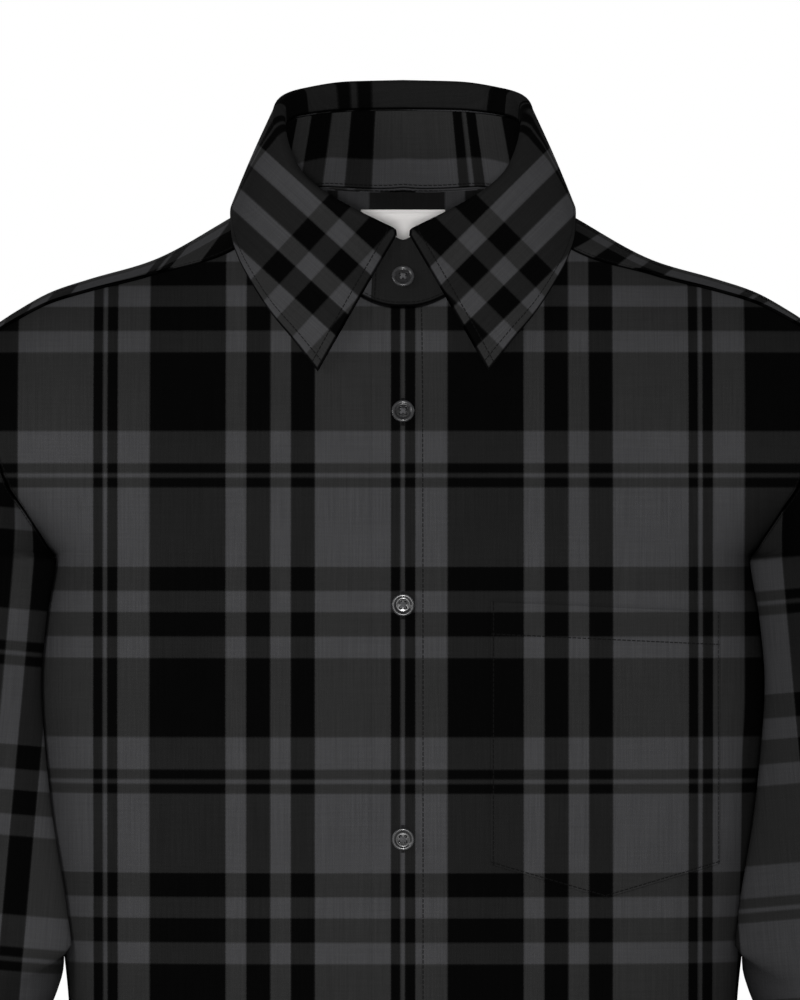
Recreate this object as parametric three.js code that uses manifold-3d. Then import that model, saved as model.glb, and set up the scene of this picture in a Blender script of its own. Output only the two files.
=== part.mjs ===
// Plaid flannel shirt: pointed collar, long sleeves and one chest pocket, filled out as if worn, with nobody in it.
// Millimetres. +Z is up, the front faces -Y and +X is the wearer's left.
// The origin is the middle of the neck, level with the high points of the shoulders.

import * as THREE from 'three';
import Module from 'manifold-3d';

// Cloth and seams
const CLOTH_WALL = 1.2;
const BAND_WALL = 2.0; // collar and cuffs, two layers with interlining
const SEAM_GAP = 0.3;

// Body tube
const SIDE_Y = 8; // y of the side seams, the underarms and the shoulder line
const ARCH_BASE = -320; // level above which front and back lean together, as quarter ellipses
const ARCH_SPAN = 540; // fall from the shoulder line to the arch's base
const UNDERARM_Z = -193;

// Level sections of the body tube, from the hem up. Each is a superellipse, and a higher power is squarer.
const BODY = [
  { z: -800, width: 208, front: 124, back: 124, power: 2.5 },
  { z: -700, width: 205, front: 124, back: 126, power: 2.5 },
  { z: -630, width: 201, front: 124, back: 126, power: 2.5 },
  { z: -540, width: 189, front: 121, back: 117, power: 2.5 },
  { z: -455, width: 183, front: 120, back: 111, power: 2.55 },
  { z: -389, width: 189, front: 124, back: 113, power: 2.6 },
  { z: -327, width: 197, front: 131, back: 119, power: 2.75 },
  { z: -265, width: 201, front: 135, back: 128, power: 2.95 },
  { z: -228, width: 197.8, front: 135, back: 128, power: 3.1 },
];

// The armhole seam: its level and x, and the angle and power of the section that it cuts there
const ARMHOLE = [
  { z: UNDERARM_Z, x: 192.5, angle: 90, power: 3.25 },
  { z: -191.5, x: 193.5, angle: 84, power: 3.25 },
  { z: -188, x: 196, angle: 76, power: 3.2 },
  { z: -180, x: 201, angle: 71, power: 3.15 },
  { z: -165, x: 211, angle: 62, power: 3.05 },
  { z: -145, x: 222, angle: 50, power: 2.95 },
  { z: -120, x: 230, angle: 42, power: 2.85 },
  { z: -95, x: 233, angle: 38.5, power: 2.8 },
  { z: -70, x: 232, angle: 38, power: 2.8 },
];

// The shoulder line from the middle of the neck, where it is only a guide, to the sleeve
const SHOULDER = [
  { x: 0, z: 28 },
  { x: 40, z: 23.5 },
  { x: 75, z: 6 },
  { x: 95, z: -6 },
  { x: 139, z: -30 },
  { x: 173, z: -40 },
  { x: 194, z: -47 },
  { x: 214, z: -58 },
  { x: 232, z: -70 },
];

// The yoke's front seam lies this far below the shoulder line
const YOKE_DROP = [
  { x: 0, drop: 22 },
  { x: 95, drop: 18.6 },
  { x: 139, drop: 8 },
  { x: 194, drop: 6 },
  { x: 232, drop: 4.2 },
];
const YOKE_BACK_Z = -88;

// Neckline, fronts and hem
const NECK = { halfWidth: 75, frontZ: -56, backZ: 10, power: 2.2, yokeAngle: 60 };
const FRONT_LAP = 17; // each front passes the centre by this much
const LAP_INSET = CLOTH_WALL + SEAM_GAP + 0.6;
const HEM = { frontZ: -750, backZ: -780, sideZ: -690 };

// Collar: heights of the stand's top edge and of the fold, by the angle round the neck from the centre front
const STAND = { halfWidth: 66, frontY: -62, backY: 47, lapOffset: 1.4, lift: 1.6 };
const COLLAR = [
  { angle: 0, stand: -19.5, fold: 4.6 },
  { angle: 20, stand: -8, fold: 4.6 },
  { angle: 40, stand: 4, fold: 5 },
  { angle: 55, stand: 14, fold: 5.5 },
  { angle: 72, stand: 27, fold: 7 },
  { angle: 90, stand: 38, fold: 9.5 },
  { angle: 130, stand: 49, fold: 14 },
  { angle: 180, stand: 53, fold: 16 },
];
const FOLD_RADIUS = 3.6;
const LEAF_START_ANGLE = 3;

// The leaf's outer edge from its point, at 0, to the centre back, at 1
const LEAF_EDGE = [
  { at: 0, x: 47, y: -98, z: -91 },
  { at: 0.12, x: 60.5, y: -90, z: -74 },
  { at: 0.23, x: 73, y: -79, z: -59 },
  { at: 0.34, x: 84, y: -66, z: -42 },
  { at: 0.42, x: 91, y: -51, z: -29 },
  { at: 0.49, x: 95, y: -34, z: -17 },
  { at: 0.58, x: 96, y: -6, z: -3 },
  { at: 0.7, x: 92, y: 30, z: 2 },
  { at: 0.82, x: 72, y: 53, z: 4 },
  { at: 1, x: 0, y: 65, z: 4 },
];

// Sleeve sections, each through an outer and an inner point as seen from the front
const SLEEVE = [
  { outX: 232, outZ: -70, inX: 192.5, inZ: UNDERARM_Z, depth: 67, y: 8 },
  { outX: 247, outZ: -76, inX: 195.2, inZ: -203, depth: 68, y: 8 },
  { outX: 266, outZ: -92, inX: 197.6, inZ: -214, depth: 69, y: 8 },
  { outX: 284, outZ: -120, inX: 200, inZ: -228, depth: 69, y: 8 },
  { outX: 296, outZ: -160, inX: 202.2, inZ: -245, depth: 68, y: 8 },
  { outX: 303, outZ: -210, inX: 203.4, inZ: -267, depth: 67, y: 8 },
  { outX: 305, outZ: -280, inX: 202, inZ: -302, depth: 65, y: 8 },
  { outX: 302, outZ: -350, inX: 196.5, inZ: -356, depth: 62, y: 9 },
  { outX: 298, outZ: -417, inX: 188.5, inZ: -419, depth: 58, y: 9 },
  { outX: 300, outZ: -460, inX: 205, inZ: -462, depth: 55, y: 7 },
  { outX: 304, outZ: -500, inX: 222, inZ: -500, depth: 52, y: 3 },
  { outX: 308, outZ: -550, inX: 233, inZ: -550, depth: 48, y: -5 },
  { outX: 309, outZ: -592, inX: 237, inZ: -592, depth: 43, y: -13 },
  { outX: 307, outZ: -614, inX: 237, inZ: -614, depth: 40, y: -17 },
];
const SLEEVE_RINGS = 19;
const CUFF = { height: 65, lapAngle: 28, lapOffset: 1.4, centreAngle: 60 };

// The pocket, seen from the front
const POCKET = { left: 48, right: 173, topZ: -218, tilt: -6, sideZ: -362, pointDrop: 18.6 };
const LABEL = { width: 47, topZ: 0, bottomZ: -24 };

// Buttons
const BUTTON = { radius: 6.3, height: 2.4, rim: 0.5, rimWidth: 1.5, holeRadius: 0.75, holeOut: 1.45 };
const STAND_BUTTON_Z = -40.7;
const FRONT_BUTTONS_Z = [-113.9, -220, -348, -460, -572, -670];

// Triangle counts
const COLUMNS = { neck: 5, shoulder: 9, back: 24, yokeBack: 12, stand: 32, leafHalf: 15, cuff: 26, pocket: 10 };
const ROWS = { side: 12, armhole: 9, yoke: 8, yokeDeep: 9, pocket: 7 };

const COLOURS = { cloth: '#2d2d2f', collar: '#303032', button: '#3b3b3e', label: '#e0dcd9' };

const rad = (degrees) => (degrees * Math.PI) / 180;
const mix = (a, b, t) => a + (b - a) * t;
const smooth = (t) => { const c = Math.min(1, Math.max(0, t)); return c * c * (3 - 2 * c); };
const steps = (from, to, n) => Array.from({ length: n + 1 }, (_, i) => mix(from, to, i / n));
const vec = (x, y, z) => new THREE.Vector3(x, y, z);

// A smooth curve through a table's rows that never overshoots them
function curve(rows, along, of) {
  const sorted = [...rows].sort((a, b) => a[along] - b[along]);
  const t = sorted.map((row) => row[along]);
  const v = sorted.map((row) => row[of]);
  const secant = t.slice(1).map((next, i) => (v[i + 1] - v[i]) / (next - t[i]));
  const slope = t.map((_, i) => {
    if (i === 0) return secant[0];
    if (i === t.length - 1) return secant[i - 1];
    const [before, after] = [secant[i - 1], secant[i]];
    return before * after <= 0 ? 0 : (2 * before * after) / (before + after);
  });
  return (at) => {
    const p = Math.min(t[t.length - 1], Math.max(t[0], at));
    let i = 0;
    while (i < t.length - 2 && p > t[i + 1]) i += 1;
    const span = t[i + 1] - t[i];
    const u = (p - t[i]) / span;
    return v[i] * (1 + 2 * u) * (1 - u) ** 2 + v[i + 1] * u * u * (3 - 2 * u)
      + span * (slope[i] * u * (1 - u) ** 2 - slope[i + 1] * u * u * (1 - u));
  };
}

// Across and along parts of a unit superellipse at an angle in degrees
function superellipse(angle, power) {
  const [sine, cosine] = [Math.sin(rad(angle)), Math.cos(rad(angle))];
  const scale = (Math.abs(sine) ** power + Math.abs(cosine) ** power) ** (1 / power);
  return { across: sine / scale, along: cosine / scale };
}

// The body's surface. A place on it has an angle, from the centre (0) to the side seam (90), and a fall,
// which is how far down it lies from the shoulder line, more than 0 in front and less than 0 behind.
const shoulderZ = curve(SHOULDER, 'x', 'z');
const frontDepth = curve(BODY, 'z', 'front');
const backDepth = curve(BODY, 'z', 'back');

function fallAt(x, z) {
  if (z <= ARCH_BASE) return ARCH_SPAN + ARCH_BASE - z;
  const rise = (z - ARCH_BASE) / (shoulderZ(Math.abs(x)) - ARCH_BASE);
  return ARCH_SPAN * Math.sqrt(Math.max(0, 1 - rise));
}

const armRows = ARMHOLE.map(({ z, x, angle, power }) => (
  { fall: fallAt(x, z), width: x / superellipse(angle, power).across, angle, power }));
const sectionRows = [...BODY.map((row) => ({ ...row, fall: fallAt(row.width, row.z) })), ...armRows];
const sectionWidth = curve(sectionRows, 'fall', 'width');
const sectionPower = curve(sectionRows, 'fall', 'power');
const armAngle = curve(armRows, 'fall', 'angle');
const UNDERARM_FALL = armRows[0].fall;
const sideX = (fall) => {
  const down = Math.abs(fall);
  return sectionWidth(down) * superellipse(armAngle(down), sectionPower(down)).across;
};

function body(x, fall) {
  const down = Math.abs(fall);
  const share = Math.min(1, Math.abs(x) / sectionWidth(down));
  const fullness = (1 - share ** sectionPower(down)) ** (1 / sectionPower(down));
  const rise = Math.max(0, 1 - (down / ARCH_SPAN) ** 2);
  const z = down < ARCH_SPAN
    ? mix(ARCH_BASE, shoulderZ(Math.abs(x)), rise)
    : ARCH_BASE - (down - ARCH_SPAN);
  const depth = (fall > 0 ? -frontDepth(z) : backDepth(z)) * Math.sqrt(1 - rise ** 2);
  return vec(x, SIDE_Y + depth * fullness, z);
}

// A place on the body at x and z, moved out by a distance
function onBody(x, z, out, face = 1) {
  const fall = face * fallAt(x, z);
  const across = body(x + 0.5, fall).sub(body(x - 0.5, fall));
  const down = body(x, fall + 1).sub(body(x, fall - 1));
  const normal = down.cross(across).normalize();
  return { point: body(x, fall).addScaledVector(normal, out), normal };
}

// The neckline at an angle round the neck, 0 at the centre front and 90 on the wearer's left
const FRONT_NECK_FALL = fallAt(0, NECK.frontZ);
const BACK_NECK_FALL = fallAt(0, NECK.backZ);
function neckline(angle) {
  const x = NECK.halfWidth * superellipse(angle, NECK.power).across;
  const cosine = Math.cos(rad(angle));
  return { x, fall: (cosine > 0 ? FRONT_NECK_FALL : BACK_NECK_FALL) * cosine };
}
const LAP_ANGLE = (Math.asin(FRONT_LAP / NECK.halfWidth) * 180) / Math.PI;
const NECK_CORNER = neckline(NECK.yokeAngle);

const yokeDrop = curve(YOKE_DROP, 'x', 'drop');
const SLEEVE_HEAD_X = 232;
const frontSeamFall = (x) => fallAt(x, shoulderZ(Math.abs(x)) - yokeDrop(Math.abs(x)));
const backSeamFall = (x) => -fallAt(x, YOKE_BACK_Z);

// Falls of the rows along the side seam and the armhole, which the sleeve's first ring shares
const armSteps = (top) => steps(0, 1, ROWS.armhole).map((t) => mix(UNDERARM_FALL, top, t ** 1.7));
const sideFalls = {
  seam: steps(ARCH_SPAN + ARCH_BASE - HEM.sideZ, UNDERARM_FALL, ROWS.side),
  front: armSteps(frontSeamFall(SLEEVE_HEAD_X)),
  yoke: steps(frontSeamFall(SLEEVE_HEAD_X), backSeamFall(SLEEVE_HEAD_X), ROWS.yoke),
  back: armSteps(-backSeamFall(SLEEVE_HEAD_X)).map((fall) => -fall),
};

// A panel from the hem to a seam under the yoke. Its rows run level, and bend only near the hem and the top.
// Each column has its share of the way from the centre to the side, at the hem and at the top.
function panelGrid(columns, falls, centreX) {
  const [hemFall, topFall] = [falls[0], falls[falls.length - 1]];
  return columns.map(({ low, high, hem, top }) => falls.map((level) => {
    const up = (level - hemFall) / (topFall - hemFall);
    const fall = level + (hem - hemFall) * (1 - up) ** 3 + (top - topFall) * up ** 3;
    const share = mix(low, high, smooth((up - 0.45) / 0.55));
    return body(mix(centreX, Math.sign(share) * sideX(fall), Math.abs(share)), fall);
  }));
}
const COLUMN_POWER = 2.7; // crowds the columns toward the side seams
const hemFallAt = (share, centreZ, flat) => ARCH_SPAN + ARCH_BASE
  - mix(centreZ, HEM.sideZ, smooth((Math.abs(share) - flat) / (1 - flat)));

// Moves a grid's border in by the seam's gap, so that sewn pieces stay apart
function trim(grid, sides) {
  const last = grid.length - 1;
  const top = grid[0].length - 1;
  const pull = (edge, inner) => edge.addScaledVector(inner.clone().sub(edge).normalize(), SEAM_GAP);
  if (sides.includes('first')) grid[0].forEach((p, j) => pull(p, grid[1][j]));
  if (sides.includes('last')) grid[last].forEach((p, j) => pull(p, grid[last - 1][j]));
  if (sides.includes('top')) grid.forEach((column) => pull(column[top], column[top - 1]));
  if (sides.includes('bottom')) grid.forEach((column) => pull(column[0], column[1]));
  return grid;
}

// Unit normals of a grid of points, columns by rows
function gridNormals(grid, closed) {
  const n = grid.length;
  return grid.map((column, i) => column.map((_, j) => {
    const [left, right] = closed ? [(i + n - 1) % n, (i + 1) % n] : [Math.max(0, i - 1), Math.min(n - 1, i + 1)];
    const [low, high] = [Math.max(0, j - 1), Math.min(column.length - 1, j + 1)];
    const across = grid[right][j].clone().sub(grid[left][j]);
    const up = grid[i][high].clone().sub(grid[i][low]);
    return across.cross(up).normalize();
  }));
}

// A closed cloth wall whose outer face is a grid of points. Its columns run anticlockwise seen from above.
function clothWall(name, grid, wall, { closed = false, colour = COLOURS.cloth, roughness = 0.95 } = {}) {
  const normals = gridNormals(grid, closed);
  const rows = grid[0].length;
  const columns = grid.length;
  const points = [];
  grid.forEach((column, i) => column.forEach((p, j) => {
    points.push(p, p.clone().addScaledVector(normals[i][j], -wall));
  }));
  const at = (i, j, inner) => ((i % columns) * rows + j) * 2 + inner;
  const faces = [];
  const quad = (a, b, c, d) => faces.push(a, b, c, a, c, d);
  const cells = closed ? columns : columns - 1;
  for (let i = 0; i < cells; i += 1) {
    for (let j = 0; j < rows - 1; j += 1) {
      quad(at(i, j, 0), at(i + 1, j, 0), at(i + 1, j + 1, 0), at(i, j + 1, 0));
      quad(at(i, j, 1), at(i, j + 1, 1), at(i + 1, j + 1, 1), at(i + 1, j, 1));
    }
    quad(at(i, 0, 0), at(i, 0, 1), at(i + 1, 0, 1), at(i + 1, 0, 0));
    quad(at(i, rows - 1, 0), at(i + 1, rows - 1, 0), at(i + 1, rows - 1, 1), at(i, rows - 1, 1));
  }
  if (!closed) {
    for (let j = 0; j < rows - 1; j += 1) {
      quad(at(0, j, 0), at(0, j + 1, 0), at(0, j + 1, 1), at(0, j, 1));
      quad(at(columns - 1, j, 0), at(columns - 1, j, 1), at(columns - 1, j + 1, 1), at(columns - 1, j + 1, 0));
    }
  }
  return solid(name, points.flatMap((p) => [p.x, p.y, p.z]), faces, colour, roughness);
}

function solid(name, positions, faces, colour, roughness) {
  const geometry = new THREE.BufferGeometry();
  geometry.setAttribute('position', new THREE.Float32BufferAttribute(positions, 3));
  geometry.setIndex(faces);
  geometry.computeVertexNormals();
  const mesh = new THREE.Mesh(geometry, new THREE.MeshStandardMaterial({ color: colour, roughness, metalness: 0 }));
  mesh.name = name;
  return mesh;
}

const mirrored = (grid) => grid.map((column) => column.map((p) => vec(-p.x, p.y, p.z))).reverse();

// One front from its centre edge to the side, drawn for the wearer's left
function frontGrid(inset) {
  const tops = [
    ...steps(-LAP_ANGLE, NECK.yokeAngle, COLUMNS.neck).map(neckline),
    ...steps(NECK_CORNER.x, SLEEVE_HEAD_X, COLUMNS.shoulder).slice(1)
      .map((x) => ({ x, fall: frontSeamFall(x) })),
  ];
  const columns = tops.map(({ x, fall }, i) => {
    const low = superellipse((90 * i) / (tops.length - 1), COLUMN_POWER).across;
    const high = i === tops.length - 1 ? 1 : (x + FRONT_LAP) / (sideX(fall) + FRONT_LAP);
    return { low, high, hem: hemFallAt(low, HEM.frontZ, 0.35), top: fall };
  });
  const grid = panelGrid(columns, [...sideFalls.seam, ...sideFalls.front.slice(1)], -FRONT_LAP);
  if (inset) grid.flat().forEach((p) => { p.y += LAP_INSET * smooth((50 - p.x) / 30); });
  return trim(grid, ['last', 'top']);
}

function backGrid() {
  const falls = [...sideFalls.seam.map((fall) => -fall), ...sideFalls.back.slice(1)];
  const columns = steps(1, -1, COLUMNS.back).map((share) => {
    const low = superellipse(90 * share, COLUMN_POWER).across;
    const top = backSeamFall(share * SLEEVE_HEAD_X);
    const high = Math.abs(share) === 1 ? share : (share * SLEEVE_HEAD_X) / sideX(top);
    return { low, high, hem: -hemFallAt(low, HEM.backZ, 0.2), top };
  });
  return trim(panelGrid(columns, falls, 0), ['first', 'last', 'top']);
}

// The yoke as a band round the neck. Its columns run from the neckline out to the armhole or the back seam,
// and its first and last are the front seams.
function yokeGrid() {
  const outer = [
    ...sideFalls.yoke.map((fall) => ({ x: sideX(fall), fall })),
    ...steps(SLEEVE_HEAD_X, 0, COLUMNS.yokeBack).slice(1).map((x) => ({ x, fall: backSeamFall(x) })),
  ];
  const half = outer.map((out, k) => {
    const armPart = Math.min(1, k / ROWS.yoke);
    const backPart = Math.max(0, (k - ROWS.yoke) / COLUMNS.yokeBack);
    const inner = neckline(NECK.yokeAngle + 45 * armPart + (135 - NECK.yokeAngle) * backPart);
    return steps(1, 0, ROWS.yokeDeep).map((way) => {
      const x = mix(inner.x, out.x, way);
      const seamWay = (x - NECK_CORNER.x) / (SLEEVE_HEAD_X - NECK_CORNER.x);
      const bend = frontSeamFall(x) - mix(NECK_CORNER.fall, frontSeamFall(SLEEVE_HEAD_X), seamWay);
      return body(x, mix(inner.fall, out.fall, way) + (k < ROWS.yoke ? bend * (1 - armPart) ** 1.5 : 0));
    });
  });
  const right = half.slice(0, -1).reverse().map((column) => column.map((p) => vec(-p.x, p.y, p.z)));
  return trim([...half, ...right], ['first', 'last', 'top', 'bottom']);
}

// A sleeve for the wearer's left, whose first ring follows the armhole's own points
function sleeveRing(at) {
  const keys = ['outX', 'outZ', 'inX', 'inZ', 'depth', 'y'];
  return Object.fromEntries(keys.map((key) => [key, sleeveCurves[key](at)]));
}
const sleeveRows = SLEEVE.map((row, i) => ({ ...row, at: i / (SLEEVE.length - 1) }));
const sleeveCurves = Object.fromEntries(
  ['outX', 'outZ', 'inX', 'inZ', 'depth', 'y'].map((key) => [key, curve(sleeveRows, 'at', key)]));

function onSleeve({ outX, outZ, inX, inZ, depth, y }, turn) {
  const along = Math.cos(turn);
  return vec(
    mix(inX, outX, (1 + along) / 2),
    y + depth * Math.sin(turn),
    mix(inZ, outZ, (1 + along) / 2));
}

function sleeveGrid() {
  const falls = [...sideFalls.yoke.slice(0, -1), ...[...sideFalls.back].reverse().slice(0, -1),
    ...sideFalls.front.slice(0, -1)];
  const loop = falls.map((fall) => body(sideX(fall), fall));
  const first = sleeveRing(0);
  const axis = vec(first.outX - first.inX, 0, first.outZ - first.inZ);
  const centre = vec((first.outX + first.inX) / 2, first.y, (first.outZ + first.inZ) / 2);
  return loop.map((seam) => {
    const level = seam.clone().sub(centre).dot(axis) / (axis.lengthSq() / 2);
    const turn = Math.acos(Math.min(1, Math.max(-1, level))) * (seam.y < SIDE_Y ? -1 : 1);
    const offset = seam.clone().sub(onSleeve(first, turn));
    const points = steps(0, 1, SLEEVE_RINGS - 1).map((at) => (
      onSleeve(sleeveRing(at), turn).addScaledVector(offset, Math.max(0, 1 - at * 2.2) ** 2)));
    points[0].addScaledVector(points[1].clone().sub(points[0]).normalize(), SEAM_GAP + 0.3);
    points[0].x += (SEAM_GAP * (1 - Math.cos(turn))) / 2;
    return points.reverse();
  });
}

// A band that laps over itself, as a grid of its outer face
function bandGrid(angles, offsetAt, low, high, middle = 0.5) {
  return angles.map((angle) => {
    const offset = offsetAt(angle);
    const [bottom, top] = [low(angle, offset), high(angle, offset)];
    return [bottom, bottom.clone().lerp(top, middle), top];
  });
}

const standZ = curve(COLLAR, 'angle', 'stand');
const foldRise = curve(COLLAR, 'angle', 'fold');
const fromFront = (angle) => { const turned = ((angle % 360) + 360) % 360; return Math.min(turned, 360 - turned); };
const outwards = (angle) => vec(Math.sin(rad(angle)), -Math.cos(rad(angle)), 0);

function standTop(angle, offset) {
  const { across, along } = superellipse(angle, NECK.power);
  const middleY = (STAND.frontY + STAND.backY) / 2;
  const depth = (STAND.backY - STAND.frontY) / 2;
  return vec(STAND.halfWidth * across, middleY - depth * along, standZ(fromFront(angle)))
    .addScaledVector(outwards(angle), offset);
}

function standBottom(angle, offset) {
  const { x, fall } = neckline(angle);
  return body(x, fall).addScaledVector(outwards(angle), offset - 0.4).add(vec(0, 0, STAND.lift));
}

// The stand starts at the end that laps over, left of the centre front, and ends under it
function standLap(angle) {
  const over = smooth((50 - angle) / 35);
  const under = smooth((angle - 310) / 35);
  return BAND_WALL / 2 + STAND.lapOffset * (over - under);
}

function standGrid() {
  const angles = steps(-LAP_ANGLE, 360 + LAP_ANGLE, COLUMNS.stand);
  return bandGrid(angles, standLap, standBottom, standTop);
}

// The leaf: up from the stand, over the fold and down to its edge, from the left point to the right one
const edgeOf = Object.fromEntries(['x', 'y', 'z'].map((key) => [key, curve(LEAF_EDGE, 'at', key)]));
function leafProfile(angle) {
  const side = angle > 180 ? -1 : 1;
  const at = fromFront(angle) / 180;
  const start = fromFront(LEAF_START_ANGLE) / 180;
  const share = (at - start) / (1 - start);
  const edge = vec(side * edgeOf.x(share), edgeOf.y(share), edgeOf.z(share));
  const out = outwards(angle);
  const rise = foldRise(fromFront(angle));
  const startOut = -BAND_WALL / 2 - 1 * smooth(1 - at * 3);
  const seam = standTop(angle, 0).addScaledVector(out, startOut);
  const place = (outBy, up) => seam.clone().addScaledVector(out, outBy).add(vec(0, 0, up));
  const fold = [0, 36, 72, 108, 144, 180].map((turn) => place(
    FOLD_RADIUS * (1 - Math.cos(rad(turn))), rise - FOLD_RADIUS * (1 - Math.sin(rad(turn)))));
  const fallStart = fold[fold.length - 1];
  const bow = mix(3, 1, smooth(at * 2));
  const falling = steps(0, 1, 6).slice(1).map((down) => (
    fallStart.clone().lerp(edge, down).addScaledVector(out, bow * Math.sin(Math.PI * down))));
  return [place(0, SEAM_GAP + 0.5), ...fold, ...falling];
}

function leafGrid() {
  const angles = steps(LEAF_START_ANGLE, 360 - LEAF_START_ANGLE, 2 * COLUMNS.leafHalf);
  return angles.map((angle) => leafProfile(angle).reverse());
}

function cuffGrid() {
  const end = SLEEVE[SLEEVE.length - 1];
  const ring = (z) => ({ ...end, outZ: z, inZ: z });
  const from = CUFF.centreAngle - CUFF.lapAngle / 2;
  const lap = (angle) => BAND_WALL / 2 - 0.6 + CUFF.lapOffset * (
    smooth((from + 55 - angle) / 30) - smooth((angle - from - 305) / 30));
  const top = end.outZ - SEAM_GAP;
  const place = (z) => (angle, offset) => {
    const turn = rad(angle);
    return onSleeve(ring(z), turn).addScaledVector(vec(Math.cos(turn), Math.sin(turn), 0), offset);
  };
  return bandGrid(steps(from, from + 360 + CUFF.lapAngle, COLUMNS.cuff), lap, place(top - CUFF.height), place(top));
}

function pocketGrid() {
  const out = SEAM_GAP + 0.5 + CLOTH_WALL;
  return steps(0, 1, COLUMNS.pocket).map((across) => {
    const x = mix(POCKET.left, POCKET.right, across);
    const top = POCKET.topZ + POCKET.tilt * across;
    const bottom = POCKET.sideZ - POCKET.pointDrop * (1 - Math.abs(2 * across - 1));
    return steps(bottom, top, ROWS.pocket).map((z) => onBody(x, z, out).point);
  });
}

function labelGrid() {
  const inside = -(CLOTH_WALL + SEAM_GAP + 0.2);
  return steps(LABEL.width / 2, -LABEL.width / 2, 4).map((x) => (
    steps(LABEL.bottomZ, LABEL.topZ, 3).map((z) => onBody(x, z, inside, -1).point)));
}

// A four-hole button with a raised rim, flat on its back
const { Manifold, setup } = await Module().then((module) => { module.setup(); return module; });
function buttonSolid(name, { point, normal }) {
  const { radius, height, rim, rimWidth, holeRadius, holeOut } = BUTTON;
  const profile = [
    [0, 0], [radius - 0.7, 0], [radius, 0.8], [radius - 0.4, height],
    [radius - rimWidth, height], [radius - rimWidth - 0.6, height - rim], [0, height - rim],
  ];
  const holes = [0, 1, 2, 3].map((i) => Manifold.cylinder(2 * height + 2, holeRadius, holeRadius, 6, true)
    .translate([holeOut * Math.SQRT2 * Math.cos(rad(45 + 90 * i)), holeOut * Math.SQRT2 * Math.sin(rad(45 + 90 * i)), 0]));
  const { vertProperties, triVerts } = Manifold.difference([Manifold.revolve([profile], 18), ...holes]).getMesh();
  const mesh = solid(name, vertProperties, Array.from(triVerts), COLOURS.button, 0.35);
  mesh.position.copy(point);
  mesh.quaternion.setFromUnitVectors(vec(0, 0, 1), normal);
  return mesh;
}

function frontButton(name, z) {
  return buttonSolid(name, onBody(0, z, SEAM_GAP + 0.1));
}

function standButton() {
  const share = (STAND_BUTTON_Z - NECK.frontZ) / (standZ(0) - NECK.frontZ);
  const [low, high] = [standBottom(0, standLap(0)), standTop(0, standLap(0))];
  const normal = vec(0, -(high.z - low.z), high.y - low.y).normalize();
  return buttonSolid('button_stand', { point: low.clone().lerp(high, share).addScaledVector(normal, SEAM_GAP + 0.5), normal });
}

function cuffButton(name, side) {
  const end = SLEEVE[SLEEVE.length - 1];
  const turn = rad(CUFF.centreAngle);
  const out = vec(Math.cos(turn) / (end.outX - end.inX) * 2, Math.sin(turn) / end.depth, 0).normalize();
  const point = onSleeve({ ...end, outZ: end.outZ - CUFF.height / 2, inZ: end.inZ - CUFF.height / 2 }, turn)
    .addScaledVector(out, BAND_WALL / 2 - 0.6 + CUFF.lapOffset + SEAM_GAP + 0.2);
  return buttonSolid(name, { point: vec(side * point.x, point.y, point.z), normal: vec(side * out.x, out.y, 0) });
}

const band = { colour: COLOURS.collar };
const tube = { closed: true };
const shirt = new THREE.Group();
shirt.name = 'flannel_shirt';
shirt.add(
  clothWall('front_left', frontGrid(false), CLOTH_WALL),
  clothWall('front_right', mirrored(frontGrid(true)), CLOTH_WALL),
  clothWall('back', backGrid(), CLOTH_WALL),
  clothWall('yoke', yokeGrid(), CLOTH_WALL),
  clothWall('sleeve_left', sleeveGrid(), CLOTH_WALL, tube),
  clothWall('sleeve_right', mirrored(sleeveGrid()), CLOTH_WALL, tube),
  clothWall('cuff_left', cuffGrid(), BAND_WALL, band),
  clothWall('cuff_right', mirrored(cuffGrid()), BAND_WALL, band),
  clothWall('collar_stand', standGrid(), BAND_WALL, band),
  clothWall('collar_leaf', leafGrid(), BAND_WALL, band),
  clothWall('chest_pocket', pocketGrid(), CLOTH_WALL),
  clothWall('neck_label', labelGrid(), 1, { colour: COLOURS.label, roughness: 0.7 }),
  standButton(),
  ...FRONT_BUTTONS_Z.map((z, i) => frontButton(`button_front_${i + 1}`, z)),
  cuffButton('button_cuff_left', 1),
  cuffButton('button_cuff_right', -1),
);

export default shirt;
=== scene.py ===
import math

import bpy
import numpy as np
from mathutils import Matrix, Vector


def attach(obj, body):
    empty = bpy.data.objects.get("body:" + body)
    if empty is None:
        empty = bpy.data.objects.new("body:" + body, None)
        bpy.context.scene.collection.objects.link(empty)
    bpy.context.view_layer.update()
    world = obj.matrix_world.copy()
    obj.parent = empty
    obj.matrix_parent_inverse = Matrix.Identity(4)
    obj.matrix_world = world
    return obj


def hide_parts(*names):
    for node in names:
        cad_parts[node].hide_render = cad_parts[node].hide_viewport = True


# Plaid flannel shirt, filled out as if worn.
# Surfaces are worked out in millimetres and turned into metres at the end.
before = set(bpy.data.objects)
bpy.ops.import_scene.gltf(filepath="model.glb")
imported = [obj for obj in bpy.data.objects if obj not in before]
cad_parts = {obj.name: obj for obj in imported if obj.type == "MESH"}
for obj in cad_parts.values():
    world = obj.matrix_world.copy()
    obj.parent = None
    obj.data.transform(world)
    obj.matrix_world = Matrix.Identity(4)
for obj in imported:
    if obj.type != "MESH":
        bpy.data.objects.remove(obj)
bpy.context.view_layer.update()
MM = 0.001

# Cloth, seams and the body tube
CLOTH_WALL = 1.2
BAND_WALL = 2.0
SEAM_GAP = 0.3
SIDE_Y = 8
ARCH_BASE = -320
ARCH_SPAN = 540
UNDERARM_Z = -193

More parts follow.
